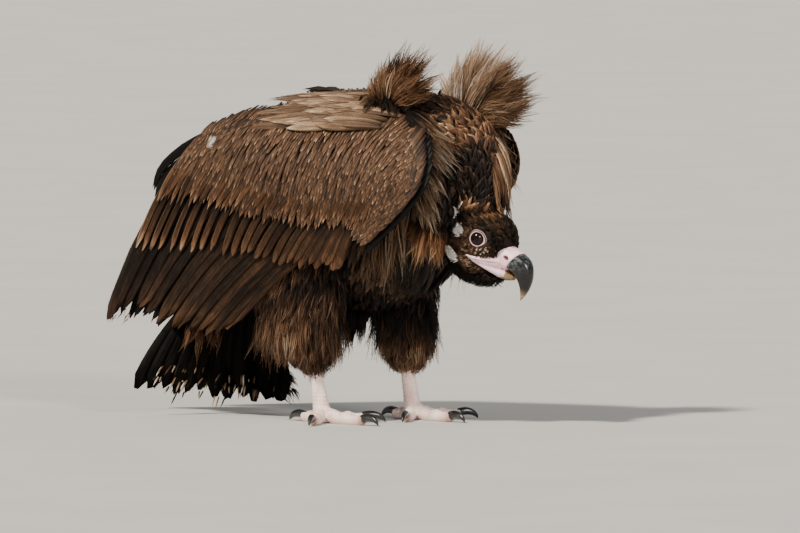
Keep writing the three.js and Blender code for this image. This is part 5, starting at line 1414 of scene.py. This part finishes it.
for word in ("right", "left"):
    leg = legs[word]
    bodies = [tube(limb(leg["shank"], 30, 28))]
    for turn, length, _ in leg["toes"].values():
        rows = [[r if r < 0 else r * length, 0, high, 0, wide, thick] for r, high, wide, thick in legs["toe"]]
        bodies.append(tube(setToe(limb(rows, 30, 24), leg["ankle"], turn)))
    p, n, faces = fuseBodies(together(bodies), legs["voxel"], 3)
    lift = np.zeros(len(p))
    stain = np.zeros(len(p))
    for turn, length, _ in leg["toes"].values():
        c, s = math.cos(math.radians(turn)), math.sin(math.radians(turn))
        run = (p[:, 0] - leg["ankle"][0]) * c - (p[:, 1] - leg["ankle"][1]) * s
        aside = (p[:, 0] - leg["ankle"][0]) * s + (p[:, 1] - leg["ankle"][1]) * c
        on = (np.abs(aside) < legs["toeHalf"]) & (run > 0.2 * length) & (run < length + 6)
        plate = (0.5 + 0.5 * np.cos(2 * np.pi * run / legs["scuteLength"])) ** 4
        groove = on * plate * legs["scuteDeep"] * ease(0.1, 0.6, n[:, 2])
        lift -= groove * ease(0.2 * length, 0.32 * length, run)
        stain = np.maximum(stain, on * ease(0.86 * length, 1.04 * length, run) * 0.8)
    high = p[:, 2]
    rings = (0.5 + 0.5 * np.cos(high * 1.15 + 0.5 * np.sin(p[:, 1] * 0.3))) ** 3  # folds round the ankle
    lift -= legs["ringDeep"] * rings * ease(18, 26, high) * (1 - ease(40, 52, high))
    lift -= legs["frontDeep"] * (0.5 + 0.5 * np.cos(high)) ** 4 * ease(46, 56, high) * ease(0.1, 0.6, n[:, 0])
    p = p + n * lift[:, None]
    p[:, 2] = np.maximum(p[:, 2], 0.0)
    makePiece("leg_" + word, p, [faces], finishLeg, ("shank_" + word, "foot_" + word), None,
              {"stain": stain})
    for name, (turn, length, reach) in leg["toes"].items():
        rows = [[length + (r if r < 0 else r * reach), 0, high, pitch, size * 0.82, size]
                for r, high, size, pitch in legs["claw"]]
        claw = limb(rows, 26, 20)
        claw[..., 2] = np.maximum(claw[..., 2], 0.05)
        claw = setToe(claw, leg["ankle"], turn)
        makePiece("claw_horn_%s_%s" % (name, word), claw.reshape(-1, 3), tube(claw)[1], finishClaw,
                  ("claw_%s_%s" % (name, word),))
print("legs: scaled")


# floor and light
stage = {
    "floorHalf": 60, "worldTint": "#f0eeea", "worldPower": 0.45,
    "lights": {  # the way each soft sun shines, how wide it looks in degrees, its strength and colour
        "key": [[0.1, 0.66, -0.72], 5, 5.2, "#fff4e4"], "fill": [[-0.82, 0.46, -0.34], 12, 1.9, "#fff8f0"],
        "side": [[0.7, 0.7, 0.06], 30, 0.9, "#fffaf4"],
    },
}
floorMesh = bpy.data.meshes.new("floor")
half = stage["floorHalf"]
corners = [(x * half, y * half, 0) for x, y in ((-1, -1), (1, -1), (1, 1), (-1, 1))]
floorMesh.from_pydata(corners, [], [(0, 1, 2, 3)])
floorFinish, node = newFinish("matt painted studio floor")
# pale paint, a little cloudy over a quarter of a metre
cloudy = node("TexNoise", {"Vector": node("TexCoord", out=3), "Scale": 4.0})
tone = node("ValToRGB", (cloudy,), stops=[[0.3, "#bcbdbc"], [0.7, "#c2c2c0"]])
node("OutputMaterial", {"Surface": node("BsdfPrincipled", {"Base Color": tone, "Roughness": 0.85})})
floorMesh.materials.append(floorFinish)
floor = bpy.data.objects.new("floor", floorMesh)
bpy.context.scene.collection.objects.link(floor)
world = bpy.data.worlds.new("studio")
bpy.context.scene.world = world
world.use_nodes = True
world.node_tree.nodes["Background"].inputs[0].default_value = colour(stage["worldTint"])
world.node_tree.nodes["Background"].inputs[1].default_value = stage["worldPower"]
for name, (shine, wide, power, tint) in stage["lights"].items():
    lamp = bpy.data.lights.new(name, "SUN")
    lamp.angle, lamp.energy, lamp.color = math.radians(wide), power, colour(tint)[:3]
    light = bpy.data.objects.new(name, lamp)
    light.rotation_euler = (math.atan2(math.hypot(shine[0], shine[1]), -shine[2]), 0,
                            math.atan2(shine[1], shine[0]) - math.pi / 2)
    light.location = -2 * np.array(shine)
    bpy.context.scene.collection.objects.link(light)
print("stage: lit")
